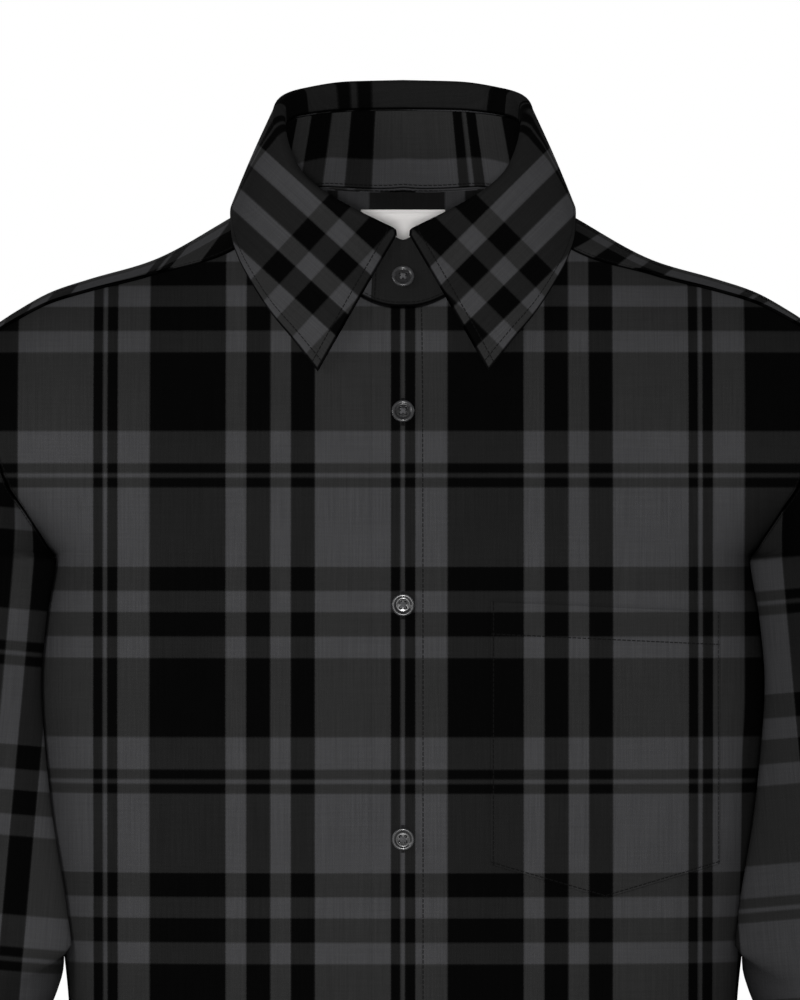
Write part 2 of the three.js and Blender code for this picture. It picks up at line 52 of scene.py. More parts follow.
# z, width, front, back, power
BODY = np.array([
    (-800, 208, 124, 124, 2.5),
    (-700, 205, 124, 126, 2.5),
    (-630, 201, 124, 126, 2.5),
    (-540, 189, 121, 117, 2.5),
    (-455, 183, 120, 111, 2.55),
    (-389, 189, 124, 113, 2.6),
    (-327, 197, 131, 119, 2.75),
    (-265, 201, 135, 128, 2.95),
    (-228, 197.8, 135, 128, 3.1),
])
# z, x, angle, power
ARMHOLE = np.array([
    (UNDERARM_Z, 192.5, 90, 3.25),
    (-191.5, 193.5, 84, 3.25),
    (-188, 196, 76, 3.2),
    (-180, 201, 71, 3.15),
    (-165, 211, 62, 3.05),
    (-145, 222, 50, 2.95),
    (-120, 230, 42, 2.85),
    (-95, 233, 38.5, 2.8),
    (-70, 232, 38, 2.8),
])
# x, z
SHOULDER = np.array([
    (0, 28), (40, 23.5), (75, 6), (95, -6), (139, -30), (173, -40), (194, -47), (214, -58), (232, -70),
])
# x, drop
YOKE_DROP = np.array([(0, 22), (95, 18.6), (139, 8), (194, 6), (232, 4.2)])
YOKE_BACK_Z = -88
NECK_HALF, NECK_FRONT_Z, NECK_BACK_Z, NECK_POWER, YOKE_ANGLE = 75, -56, 10, 2.2, 60
FRONT_LAP = 17
LAP_INSET = CLOTH_WALL + SEAM_GAP + 0.6
HEM_FRONT_Z, HEM_BACK_Z, HEM_SIDE_Z = -750, -780, -690
# Share of the hem that runs level, and how a panel's columns crowd towards its sides
HEM_FRONT_FLAT, HEM_BACK_FLAT, HEM_POWER = 0.35, 0.2, 2.7

# Collar: angle, stand, fold
STAND_HALF, STAND_FRONT_Y, STAND_BACK_Y, STAND_LAP, STAND_LIFT = 66, -62, 47, 1.4, 0.8
COLLAR = np.array([
    (0, -19.5, 4.6), (20, -8, 4.6), (40, 4, 5), (55, 14, 6), (72, 28, 9),
    (90, 40.5, 12.5), (110, 47.5, 14.2), (130, 50.6, 15.4), (155, 53, 16.8), (180, 53.5, 17.1),
])
FOLD_RADIUS, FOLD_STEPS = 3.6, 15
LEAF_START_ANGLE = 3
# at, x, y, z
LEAF_EDGE = np.array([
    (0, 47, -98, -91), (0.12, 60.5, -90, -74), (0.23, 73, -79, -59), (0.34, 84, -66, -42),
    (0.42, 91, -51, -29), (0.49, 95, -34, -17), (0.58, 96, -6, -3), (0.7, 92, 30, 2),
    (0.82, 72, 53, 4), (1, 0, 65, 4),
])
# outX, outZ, inX, inZ, depth, y
SLEEVE = np.array([
    (232, -70, 192.5, UNDERARM_Z, 67, 8),
    (247, -76, 195.2, -203, 68, 8),
    (266, -92, 197.6, -214, 69, 8),
    (284, -120, 200, -228, 69, 8),
    (296, -160, 202.2, -245, 68, 8),
    (303, -210, 203.4, -267, 67, 8),
    (305, -280, 202, -302, 65, 8),
    (302, -350, 196.5, -356, 62, 9),
    (298, -417, 188.5, -419, 58, 9),
    (300, -460, 205, -462, 55, 7),
    (304, -500, 222, -500, 52, 3),
    (308, -550, 233, -550, 48, -5),
    (309, -592, 237, -592, 43, -13),
    (307, -614, 237, -614, 40, -17),
])
CUFF_HEIGHT, CUFF_LAP_ANGLE, CUFF_LAP, CUFF_CENTRE, CUFF_SINK = 65, 28, 1.4, 60, 0.6
POCKET_LEFT, POCKET_RIGHT, POCKET_TOP, POCKET_TILT = 48, 173, -218, -6
POCKET_SIDE, POCKET_POINT = -362, 18.6
LABEL_WIDTH, LABEL_TOP, LABEL_BOTTOM, LABEL_WALL = 47, 0, -24, 0.6


def curve(t, v):
    """A smooth curve through the points of a table that never overshoots them."""
    order = np.argsort(t, kind="stable")
    t, v = np.asarray(t, float)[order], np.asarray(v, float)[order]
    secant = np.diff(v) / np.diff(t)
    slope = np.empty(len(t))
    slope[0], slope[-1] = secant[0], secant[-1]
    before, after = secant[:-1], secant[1:]
    safe = np.where(before * after > 0, before + after, 1)
    slope[1:-1] = np.where(before * after > 0, 2 * before * after / safe, 0)

    def at(p):
        p = np.clip(p, t[0], t[-1])
        i = np.clip(np.searchsorted(t, p, side="left") - 1, 0, len(t) - 2)
        span = t[i + 1] - t[i]
        u = (p - t[i]) / span
        return (v[i] * (1 + 2 * u) * (1 - u) ** 2 + v[i + 1] * u * u * (3 - 2 * u)
                + span * (slope[i] * u * (1 - u) ** 2 - slope[i + 1] * u * u * (1 - u)))
    return at


def mix(a, b, t):
    return a + (b - a) * t


def smooth(t):
    c = np.clip(t, 0, 1)
    return c * c * (3 - 2 * c)


def superellipse(angle, power):
    s, c = np.sin(np.radians(angle)), np.cos(np.radians(angle))
    scale = (np.abs(s) ** power + np.abs(c) ** power) ** (1 / power)
    return s / scale, c / scale


def unit(v):
    return v / np.maximum(np.linalg.norm(v, axis=-1, keepdims=True), 1e-12)


def spaced(n, fine_first=(), fine_last=()):
    """Even steps from 0 to 1, with closer ones near the ends."""
    parts = [np.linspace(0, 1, n + 1), np.array(fine_first, float), 1 - np.array(fine_last, float)]
    return np.unique(np.round(np.concatenate(parts), 6))


# The body's surface: a place has an x and a fall, which is how far down it lies from the shoulder line,
# more than 0 in front and less than 0 behind
shoulder_z = curve(SHOULDER[:, 0], SHOULDER[:, 1])
front_depth = curve(BODY[:, 0], BODY[:, 2])
back_depth = curve(BODY[:, 0], BODY[:, 3])


def fall_at(x, z):
    x, z = np.broadcast_arrays(np.asarray(x, float), np.asarray(z, float))
    rise = (z - ARCH_BASE) / (shoulder_z(np.abs(x)) - ARCH_BASE)
    arch = ARCH_SPAN * np.sqrt(np.clip(1 - rise, 0, 1))
    return np.where(z <= ARCH_BASE, ARCH_SPAN + ARCH_BASE - z, arch)


arm_fall = fall_at(ARMHOLE[:, 1], ARMHOLE[:, 0])
arm_width = ARMHOLE[:, 1] / superellipse(ARMHOLE[:, 2], ARMHOLE[:, 3])[0]
_falls = np.concatenate([fall_at(BODY[:, 1], BODY[:, 0]), arm_fall])
section_width = curve(_falls, np.concatenate([BODY[:, 1], arm_width]))
section_power = curve(_falls, np.concatenate([BODY[:, 4], ARMHOLE[:, 3]]))
arm_angle = curve(arm_fall, ARMHOLE[:, 2])
UNDERARM_FALL = float(arm_fall[0])


def side_x(fall):
    down = np.abs(fall)
    return section_width(down) * superellipse(arm_angle(down), section_power(down))[0]


def body(x, fall):
    x, fall = np.broadcast_arrays(np.asarray(x, float), np.asarray(fall, float))
    down = np.abs(fall)
    power = section_power(down)
    share = np.minimum(1, np.abs(x) / section_width(down))
    fullness = (1 - share ** power) ** (1 / power)
    rise = np.maximum(0, 1 - (down / ARCH_SPAN) ** 2)
    arch = mix(ARCH_BASE, shoulder_z(np.abs(x)), rise)
    z = np.where(down < ARCH_SPAN, arch, ARCH_BASE - (down - ARCH_SPAN))
    depth = np.where(fall > 0, -front_depth(z), back_depth(z)) * np.sqrt(1 - rise ** 2)
    return np.stack([x, SIDE_Y + depth * fullness, z], -1)


def on_body(x, z, out, face=1):
    fall = face * fall_at(x, z)
    x = np.broadcast_to(np.asarray(x, float), np.shape(fall))
    down, across = body(x, fall + 1) - body(x, fall - 1), body(x + 0.5, fall) - body(x - 0.5, fall)
    normal = unit(np.cross(down, across))
    return body(x, fall) + normal * out, normal


FRONT_NECK_FALL = float(fall_at(0, NECK_FRONT_Z))
BACK_NECK_FALL = float(fall_at(0, NECK_BACK_Z))


def neckline(angle):
    c = np.cos(np.radians(angle))
    x = NECK_HALF * superellipse(angle, NECK_POWER)[0]
    return x, np.where(c > 0, FRONT_NECK_FALL, BACK_NECK_FALL) * c


LAP_ANGLE = math.degrees(math.asin(FRONT_LAP / NECK_HALF))
CORNER_X, CORNER_FALL = (float(v) for v in neckline(YOKE_ANGLE))
SLEEVE_HEAD_X = 232
yoke_drop = curve(YOKE_DROP[:, 0], YOKE_DROP[:, 1])


def front_seam_fall(x):
    return fall_at(x, shoulder_z(np.abs(x)) - yoke_drop(np.abs(x)))


def back_seam_fall(x):
    return -fall_at(x, YOKE_BACK_Z)


def arm_falls(top, way):
    return mix(UNDERARM_FALL, float(top), way ** 1.7)


# Steps shared by the pieces that meet at a seam
ARM_WAY = spaced(54, (0.004, 0.01), (0.002, 0.005, 0.01))
SIDE_WAY = spaced(110, (0.001, 0.0025, 0.005, 0.01, 0.013, 0.016, 0.022))
YOKE_WAY = spaced(40, (0.004, 0.01), (0.004, 0.01))
SEAM_FALL = ARCH_SPAN + ARCH_BASE - HEM_SIDE_Z
SIDE_FALLS = mix(SEAM_FALL, UNDERARM_FALL, SIDE_WAY)
FRONT_ARM_FALLS = arm_falls(front_seam_fall(SLEEVE_HEAD_X), ARM_WAY)
BACK_ARM_FALLS = arm_falls(-back_seam_fall(SLEEVE_HEAD_X), ARM_WAY)
FRONT_FALLS = np.concatenate([SIDE_FALLS, FRONT_ARM_FALLS[1:]])
BACK_FALLS = -np.concatenate([SIDE_FALLS, BACK_ARM_FALLS[1:]])
YOKE_FALLS = mix(float(front_seam_fall(SLEEVE_HEAD_X)), float(back_seam_fall(SLEEVE_HEAD_X)), YOKE_WAY)


def panel(low, high, hem, top, falls, centre_x):
    """A panel's grid, columns by rows. Its rows run level and bend only near the hem and the top."""
    low, high, hem, top = (a[:, None] for a in (low, high, hem, top))
    level = falls[None, :]
    up = (level - falls[0]) / (falls[-1] - falls[0])
    fall = level + (hem - falls[0]) * (1 - up) ** 3 + (top - falls[-1]) * up ** 3
    share = mix(low, high, smooth((up - 0.45) / 0.55))
    return body(mix(centre_x, np.sign(share) * side_x(fall), np.abs(share)), fall)


def hem_fall(share, centre_z, flat):
    rise = smooth((np.abs(share) - flat) / (1 - flat))
    return ARCH_SPAN + ARCH_BASE - mix(centre_z, HEM_SIDE_Z, rise)


# A border of a grid, and the line of points that it is pulled towards
BORDERS = {"first": (np.s_[0], np.s_[2]), "last": (np.s_[-1], np.s_[-3]),
           "top": (np.s_[:, -1], np.s_[:, -3]), "bottom": (np.s_[:, 0], np.s_[:, 2])}


def trim(grid, sides):
    """Moves a grid's borders in by the seam's gap."""
    g = grid.copy()
    for side in sides:
        edge, inner = BORDERS[side]
        g[edge] = g[edge] + unit(g[inner] - g[edge]) * SEAM_GAP
    return g


NECK_PART = 5 / 14
LAP_INSET_END, LAP_INSET_FADE = 50, 30


def front_grid(inset):
    """The left front, or with inset the right one's mirror image, which lies under the lap."""
    c = spaced(70, (0.001, 0.003, 0.006, 0.009, 0.012, 0.017), (0.001, 0.003, 0.006, 0.01))
    c = np.sort(np.append(c[np.abs(c - NECK_PART) > 0.002], NECK_PART))
    neck_x, neck_fall = neckline(mix(-LAP_ANGLE, YOKE_ANGLE, np.minimum(1, c / NECK_PART)))
    seam_x = mix(CORNER_X, SLEEVE_HEAD_X, np.clip((c - NECK_PART) / (1 - NECK_PART), 0, 1))
    on_neck = c <= NECK_PART
    x = np.where(on_neck, neck_x, seam_x)
    top = np.where(on_neck, neck_fall, front_seam_fall(seam_x))
    low = superellipse(90 * c, HEM_POWER)[0]
    high = (x + FRONT_LAP) / (side_x(top) + FRONT_LAP)
    high[-1] = 1
    hem = hem_fall(low, HEM_FRONT_Z, HEM_FRONT_FLAT)
    grid = panel(low, high, hem, top, FRONT_FALLS, -FRONT_LAP)
    if inset:
        grid[..., 1] += LAP_INSET * smooth((LAP_INSET_END - grid[..., 0]) / LAP_INSET_FADE)
    return trim(grid, ["last", "top"])


def back_grid():
    share = 1 - 2 * spaced(120, (0.0015, 0.004, 0.008), (0.0015, 0.004, 0.008))
    low = superellipse(90 * share, HEM_POWER)[0]
    top = back_seam_fall(share * SLEEVE_HEAD_X)
    high = share * SLEEVE_HEAD_X / side_x(top)
    high[0], high[-1] = 1, -1
    hem = -hem_fall(low, HEM_BACK_Z, HEM_BACK_FLAT)
    return trim(panel(low, high, hem, top, BACK_FALLS, 0), ["first", "last", "top"])


# The part of the neckline's turn, in degrees, that faces the armhole
YOKE_ARM_TURN = 45


def yoke_grid():
    back_way = spaced(60)[1:]
    back_x = mix(SLEEVE_HEAD_X, 0, back_way)
    out_x = np.concatenate([side_x(YOKE_FALLS), back_x])
    out_fall = np.concatenate([YOKE_FALLS, back_seam_fall(back_x)])
    arm_part = np.concatenate([YOKE_WAY, np.ones(len(back_way))])[:, None]
    back_part = np.concatenate([np.zeros(len(YOKE_WAY)), back_way])[:, None]
    back_turn = 180 - YOKE_ANGLE - YOKE_ARM_TURN
    in_x, in_fall = neckline(YOKE_ANGLE + YOKE_ARM_TURN * arm_part + back_turn * back_part)
    way = YOKE_WAY[::-1][None, :]
    x = mix(in_x, out_x[:, None], way)
    seam_way = (x - CORNER_X) / (SLEEVE_HEAD_X - CORNER_X)
    bend = front_seam_fall(x) - mix(CORNER_FALL, float(front_seam_fall(SLEEVE_HEAD_X)), seam_way)
    fall = mix(in_fall, out_fall[:, None], way) + bend * np.clip(1 - arm_part, 0, 1) ** 1.5
    half = body(x, fall)
    other = half[:-1][::-1] * (-1, 1, 1)
    return trim(np.concatenate([half, other]), ["first", "last", "top", "bottom"])


_at = np.linspace(0, 1, len(SLEEVE))
sleeve_curves = [curve(_at, SLEEVE[:, k]) for k in range(6)]


def on_sleeve(ring, turn):
    out_x, out_z, in_x, in_z, depth, y = ring
    along = np.cos(turn)
    return np.stack(np.broadcast_arrays(
        mix(in_x, out_x, (1 + along) / 2), y + depth * np.sin(turn), mix(in_z, out_z, (1 + along) / 2)), -1)


# Where the sleeve leans on the body, and the lengths over which that fades
SLEEVE_CLEARANCE, BODY_SIDE_X, SLEEVE_HEAD_FADE = 0.9, 195.0, 2.2
LEAN_DEPTH, LEAN_DEPTH_FADE, LEAN_IN_FADE = 64, 20, 18
LEAN_WAY_FADE, LEAN_TOP_FADE, LEAN_END_Z, LEAN_END_FADE = 0.002, 1.5, -432, 26


def body_side(y, z):
    """How far out the body reaches at a depth and level."""
    fall = fall_at(np.full_like(z, BODY_SIDE_X), z)
    rise = np.maximum(0, 1 - (fall / ARCH_SPAN) ** 2)
    depth = np.where(y < SIDE_Y, front_depth(z), back_depth(z)) * np.sqrt(1 - rise ** 2)
    power = section_power(fall)
    full = np.minimum(1, np.abs(y - SIDE_Y) / depth)
    return section_width(fall) * (1 - full ** power) ** (1 / power)


def lean_on_body(grid, way):
    """Lets the sleeve's inner side rest on the body from the armpit to where the two part."""
    x, y, z = grid[..., 0], grid[..., 1], grid[..., 2]
    target = body_side(y, z) + SLEEVE_CLEARANCE
    centre = (x.max(axis=0) + x.min(axis=0)) / 2
    depth = smooth((LEAN_DEPTH - np.abs(y - SIDE_Y)) / LEAN_DEPTH_FADE)
    reach = depth * smooth((centre - x) / LEAN_IN_FADE)
    below = smooth((UNDERARM_Z + 0.5 - z) / LEAN_TOP_FADE)
    level = smooth(way / LEAN_WAY_FADE) * below * smooth((z - LEAN_END_Z) / LEAN_END_FADE)
    near = np.minimum(x, mix(x, target, reach * level))
    g = grid.copy()
    g[..., 0] = np.where((z < UNDERARM_Z - 1) & (reach > 0), np.maximum(near, target), near)
    return g


def sleeve_grid():
    """Columns run from the underarm in front over the outer side to the back, rows from the cuff up."""
    falls = np.concatenate([FRONT_ARM_FALLS[:-1], YOKE_FALLS[:-1], -BACK_ARM_FALLS[::-1]])
    loop = body(side_x(falls), falls)
    ring0 = [float(f(0.0)) for f in sleeve_curves]
    axis = np.array([ring0[0] - ring0[2], 0, ring0[1] - ring0[3]])
    centre = np.array([(ring0[0] + ring0[2]) / 2, ring0[5], (ring0[1] + ring0[3]) / 2])
    level = (loop - centre) @ axis / (axis @ axis / 2)
    turn = np.arccos(np.clip(level, -1, 1)) * np.where(loop[:, 1] < SIDE_Y, -1, 1)
    turn[0], turn[-1] = -math.pi, math.pi
    offset = loop - on_sleeve(ring0, turn)
    at = spaced(150, (0.001, 0.003, 0.006), (0.001, 0.003))[None, :]
    points = on_sleeve([f(at) for f in sleeve_curves], turn[:, None])
    head = np.maximum(0, 1 - at * SLEEVE_HEAD_FADE) ** 2
    points = points + offset[:, None, :] * head[..., None]
    points[:, 0] += unit(points[:, 3] - points[:, 0]) * (SEAM_GAP + 0.3)
    points[:, 0, 0] += SEAM_GAP * (1 - np.cos(turn)) / 2
    return lean_on_body(points[:, ::-1], at[:, ::-1])


stand_z = curve(COLLAR[:, 0], COLLAR[:, 1])
fold_rise = curve(COLLAR[:, 0], COLLAR[:, 2])
edge_curves = [curve(LEAF_EDGE[:, 0], LEAF_EDGE[:, k]) for k in (1, 2, 3)]


def from_front(angle):
    turned = np.mod(angle, 360)
    return np.minimum(turned, 360 - turned)


def outwards(angle):
    a = np.radians(angle)
    return np.stack([np.sin(a), -np.cos(a), np.zeros_like(a)], -1)


def stand_top(angle, offset):
    across, along = superellipse(angle, NECK_POWER)
    middle, depth = (STAND_FRONT_Y + STAND_BACK_Y) / 2, (STAND_BACK_Y - STAND_FRONT_Y) / 2
    z = stand_z(from_front(angle))
    point = np.stack([STAND_HALF * across, middle - depth * along, z], -1)
    return point + outwards(angle) * np.asarray(offset)[..., None]


def stand_bottom(angle, offset):
    x, fall = neckline(angle)
    return body(x, fall) + outwards(angle) * (np.asarray(offset)[..., None] - 0.4) + (0, 0, STAND_LIFT)


def stand_lap(angle):
    return BAND_WALL / 2 + STAND_LAP * (smooth((50 - angle) / 35) - smooth((angle - 310) / 35))


def stand_grid():
    angle = mix(-LAP_ANGLE, 360 + LAP_ANGLE, spaced(200, (0.001, 0.003), (0.001, 0.003)))
    low, high = stand_bottom(angle, stand_lap(angle)), stand_top(angle, stand_lap(angle))
    way = spaced(14, (0.01, 0.03), (0.01, 0.03))[None, :, None]
    return mix(low[:, None], high[:, None], way), angle


def leaf_grid():
    """Columns from the left point round to the right one, rows from the outer edge up over the fold
    to the seam. The third value is the row on top of the fold."""
    fine = (0.001, 0.003, 0.006, 0.01, 0.014)
    way = spaced(240, fine, fine)
    angle = mix(LEAF_START_ANGLE, 360 - LEAF_START_ANGLE, way)
    side = np.where(angle > 180, -1, 1)
    at = from_front(angle) / 180
    start = LEAF_START_ANGLE / 180
    share = (at - start) / (1 - start)
    edge = np.stack([side * edge_curves[0](share), edge_curves[1](share), edge_curves[2](share)], -1)
    out = outwards(angle)
    rise = fold_rise(from_front(angle))[:, None]
    seam = stand_top(angle, np.zeros(len(angle))) + out * (-BAND_WALL / 2 - smooth(1 - at * 3))[:, None]

    def place(out_by, up):
        return seam[:, None] + out[:, None] * out_by[..., None] + up[..., None] * np.array([0, 0, 1.0])

    turn = np.radians(np.linspace(0, 180, FOLD_STEPS))[None, :]
    fold = place(FOLD_RADIUS * (1 - np.cos(turn)) + 0 * rise, rise - FOLD_RADIUS * (1 - np.sin(turn)))
    first_up = np.full_like(rise, SEAM_GAP + 0.5)
    up_part = mix(place(0 * rise, first_up), fold[:, :1], np.linspace(0, 1, 5)[None, :-1, None])
    bow = mix(3, 1, smooth(at * 2))[:, None]
    down = spaced(34, (), (0.004, 0.01, 0.02, 0.04, 0.07, 0.1))[1:][None, :]
    bulge = out[:, None] * (bow * np.sin(np.pi * down))[..., None]
    falling = mix(fold[:, -1:], edge[:, None], down[..., None]) + bulge
    grid = np.concatenate([up_part, fold, falling], axis=1)
    return grid[:, ::-1], angle, falling.shape[1] + FOLD_STEPS // 2


def cuff_grid():
    end = SLEEVE[-1]
    from_angle = CUFF_CENTRE - CUFF_LAP_ANGLE / 2
    way = spaced(130, (0.002, 0.006), (0.002, 0.006))
    angle = mix(from_angle, from_angle + 360 + CUFF_LAP_ANGLE, way)
    lap = BAND_WALL / 2 - CUFF_SINK + CUFF_LAP * (
        smooth((from_angle + 55 - angle) / 30) - smooth((angle - from_angle - 305) / 30))
    turn = np.radians(angle)
    top = end[1] - SEAM_GAP
    out = np.stack([np.cos(turn), np.sin(turn), 0 * turn], -1) * lap[:, None]
    low = on_sleeve([end[0], top - CUFF_HEIGHT, end[2], top - CUFF_HEIGHT, end[4], end[5]], turn) + out
    high = on_sleeve([end[0], top, end[2], top, end[4], end[5]], turn) + out
    way = spaced(24, (0.01, 0.03, 0.07), (0.01, 0.03, 0.07))[None, :, None]
    return mix(low[:, None], high[:, None], way)


def pocket_grid():
    across = spaced(50, (0.005, 0.015), (0.005, 0.015))[:, None]
    x = mix(POCKET_LEFT, POCKET_RIGHT, across)
    top = POCKET_TOP + POCKET_TILT * across
    bottom = POCKET_SIDE - POCKET_POINT * (1 - np.abs(2 * across - 1))
    z = mix(bottom, top, spaced(56, (0.004, 0.012), (0.004, 0.012))[None, :])
    return on_body(np.broadcast_to(x, z.shape), z, SEAM_GAP + 0.5 + CLOTH_WALL)[0]


def label_grid():
    x = np.linspace(LABEL_WIDTH / 2, -LABEL_WIDTH / 2, 25)[:, None]
    z = np.linspace(LABEL_BOTTOM, LABEL_TOP, 15)[None, :]
    x, z = np.broadcast_arrays(x, z)
    sewn = on_body(x, z, -(CLOTH_WALL + SEAM_GAP + 0.2), -1)[0]
    top = sewn[:, -1:]
    hanging = np.stack([x, top[..., 1] + 0.25 * (LABEL_TOP - z), z], -1)
    return mix(sewn, hanging, smooth((LABEL_TOP - z) / 6)[..., None])


# Plaid coordinates in millimetres: u counts warp stripes, v weft stripes
def steps_along(grid, axis):
    d = np.diff(grid, axis=axis)
    return d, np.linalg.norm(d, axis=-1)


def running(steps, axis, zero_at):
    """Running sum of steps along an axis, 0 at the index zero_at of that axis."""
    pad = [(0, 0)] * steps.ndim
    pad[axis] = (1, 0)
    total = np.cumsum(np.pad(steps, pad), axis=axis)
    return total - np.take(total, [zero_at], axis=axis)


# Where the body's plaid turns from flat to true length: x below and at the armhole, and its fade
TURN_LOW_X, TURN_ARM_X, TURN_FADE = 176, 218, 25
TURN_Z, TURN_Z_FADE = -310, 120


def body_plaid(grid, sign, v_from_z=True):
    """u follows x, and turns into the true length of the cloth towards the sides."""
    d, length = steps_along(grid, 0)
    x = (grid[1:, :, 0] + grid[:-1, :, 0]) / 2
    z = (grid[1:, :, 2] + grid[:-1, :, 2]) / 2
    turn_x = mix(TURN_LOW_X, TURN_ARM_X, smooth((z - TURN_Z) / TURN_Z_FADE))
    weight = smooth((np.abs(x) - turn_x) / TURN_FADE)
    across = np.sqrt(np.maximum(length ** 2 - d[..., 2] ** 2, 0))
    start = int(np.argmin(np.abs(grid[:, 0, 0])))
    du = np.sign(d[..., 0]) * mix(np.abs(d[..., 0]), across, weight)
    u = running(du, 0, start) + grid[start:start + 1, :, 0]
    v = grid[..., 2] if v_from_z else back_length(grid)
    return np.stack([sign * u, v], -1)


def length_along(profile):
    return np.concatenate([[0], np.cumsum(np.linalg.norm(np.diff(profile, axis=0), axis=1))])


back_profile = body(90.0, -np.linspace(60, 1000, 400))
back_profile_length = -length_along(back_profile)
back_profile_length += HEM_BACK_Z - np.interp(-HEM_BACK_Z, -back_profile[:, 2], back_profile_length)


def back_length(grid):
    """Length up the back from the hem's level, on a profile 90 mm from the middle."""
    return np.interp(-grid[..., 2], -back_profile[:, 2], back_profile_length)


def edge_distances(grid):
    """Distances in millimetres from the four borders: first and last column, bottom and top row."""
    across = steps_along(grid, 0)[1]
    up = steps_along(grid, 1)[1]
    return (running(across, 0, 0), -running(across, 0, grid.shape[0] - 1),
            running(up, 1, 0), -running(up, 1, grid.shape[1] - 1))


def normals_of(grid, closed=False):
    if closed:
        ring = grid[:-1]
        across = np.roll(ring, -1, axis=0) - np.roll(ring, 1, axis=0)
        across = np.concatenate([across, across[:1]])
    else:
        across = np.gradient(grid, axis=0)
    return unit(np.cross(across, np.gradient(grid, axis=1)))


def press(grid, normals, distance, depth):
    """Pushes a seamed edge in over a millimetre, so that it meets the next piece in a groove."""
    return grid - normals * (depth * np.exp(-distance ** 2))[..., None]


def drape(p):
    """Soft hollows and swells of worn cloth, as one smooth shift of all that is at a place."""
    x, y, z = p[..., 0], p[..., 1], p[..., 2]
    q = p.copy()
    face = np.tanh((y - SIDE_Y) / 45)
    trunk = smooth((215 - np.abs(x)) / 25)
    calm = smooth((np.abs(x) - 12) / 50)
    low = smooth((-z - 250) / 250)
    wave = (0.9 * np.sin(x / 27 + 0.9 * np.sin(z / 140)) * np.sin(z / 190 + 1.1)
            + 0.6 * np.sin(x / 17 - z / 120 + 2.1))
    q[..., 1] += face * trunk * calm * low * wave
    return q


def add_object(name, data):
    piece = bpy.data.objects.new(name, data)
    bpy.context.scene.collection.objects.link(piece)
    return piece


def hand_in(piece, node):
    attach(piece, "root")
    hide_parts(node)


class Cloth:
    """Gathers a piece's grid, plaid and borders, and makes its closed shell."""

    def __init__(self, name, grid, plaid, wall, closed=False, seams=(), press_depth=0.45,
                 inside_plaid=None):
        self.name = name
        self.inside_plaid = plaid if inside_plaid is None else inside_plaid
        self.closed = closed
        dist = edge_distances(grid)
        self.sides = np.stack(dist[:2], -1)
        self.ends = np.stack(dist[2:], -1)
        normals = normals_of(grid, closed)
        outer = grid
        for k in seams:
            outer = press(outer, normals, dist[k], press_depth)
        inner = grid - normals * wall
        self.outer, self.inner, self.plaid = drape(outer), drape(inner), plaid

    def mesh(self):
        n, m = self.outer.shape[:2]
        used = n - 1 if self.closed else n
        node = np.arange(n * m).reshape(n, m)
        points = [self.outer[:used].reshape(-1, 3), self.inner[:used].reshape(-1, 3)]

        def vertex(nodes):
            return ((nodes // m) % used) * m + nodes % m

        a, b, c, d = node[:-1, :-1], node[1:, :-1], node[1:, 1:], node[:-1, 1:]
        out_faces = np.stack([a, b, c, d], -1).reshape(-1, 4)
        in_faces = np.stack([a, d, c, b], -1).reshape(-1, 4)
        nodes = [out_faces, in_faces]
        verts = [vertex(out_faces), vertex(in_faces) + used * m]

        def rim(edge, flip):
            e0, e1 = edge[:-1], edge[1:]
            quad = np.stack([e0, e0, e1, e1], -1)
            ids = np.stack([vertex(e0), vertex(e0) + used * m, vertex(e1) + used * m, vertex(e1)], -1)
            if flip:
                quad, ids = quad[:, ::-1], ids[:, ::-1]
            nodes.append(quad)
            verts.append(ids)

        rim(node[:, 0], False)
        rim(node[:, -1], True)
        if not self.closed:
            rim(node[0], True)
            rim(node[-1], False)
        nodes, verts = np.concatenate(nodes), np.concatenate(verts)
        mesh = bpy.data.meshes.new(self.name)
        mesh.from_pydata((np.concatenate(points) * MM).tolist(), [], verts.tolist())
        inside = slice(4 * len(out_faces), 8 * len(out_faces))
        for layer, data in (("plaid", self.plaid), ("sides", self.sides), ("ends", self.ends)):
            values = data.reshape(-1, 2)[nodes.ravel()]
            if layer == "plaid":
                values[inside] = self.inside_plaid.reshape(-1, 2)[nodes.ravel()[inside]]
            uv = mesh.uv_layers.new(name=layer)
            uv.data.foreach_set("uv", (values * MM).astype(np.float32).ravel())
        mesh.polygons.foreach_set("use_smooth", np.ones(len(verts), bool))
        mesh.update()
        return mesh

    def make(self, material):
        mesh = self.mesh()
        mesh.materials.append(material)
        return add_object(self.name, mesh)


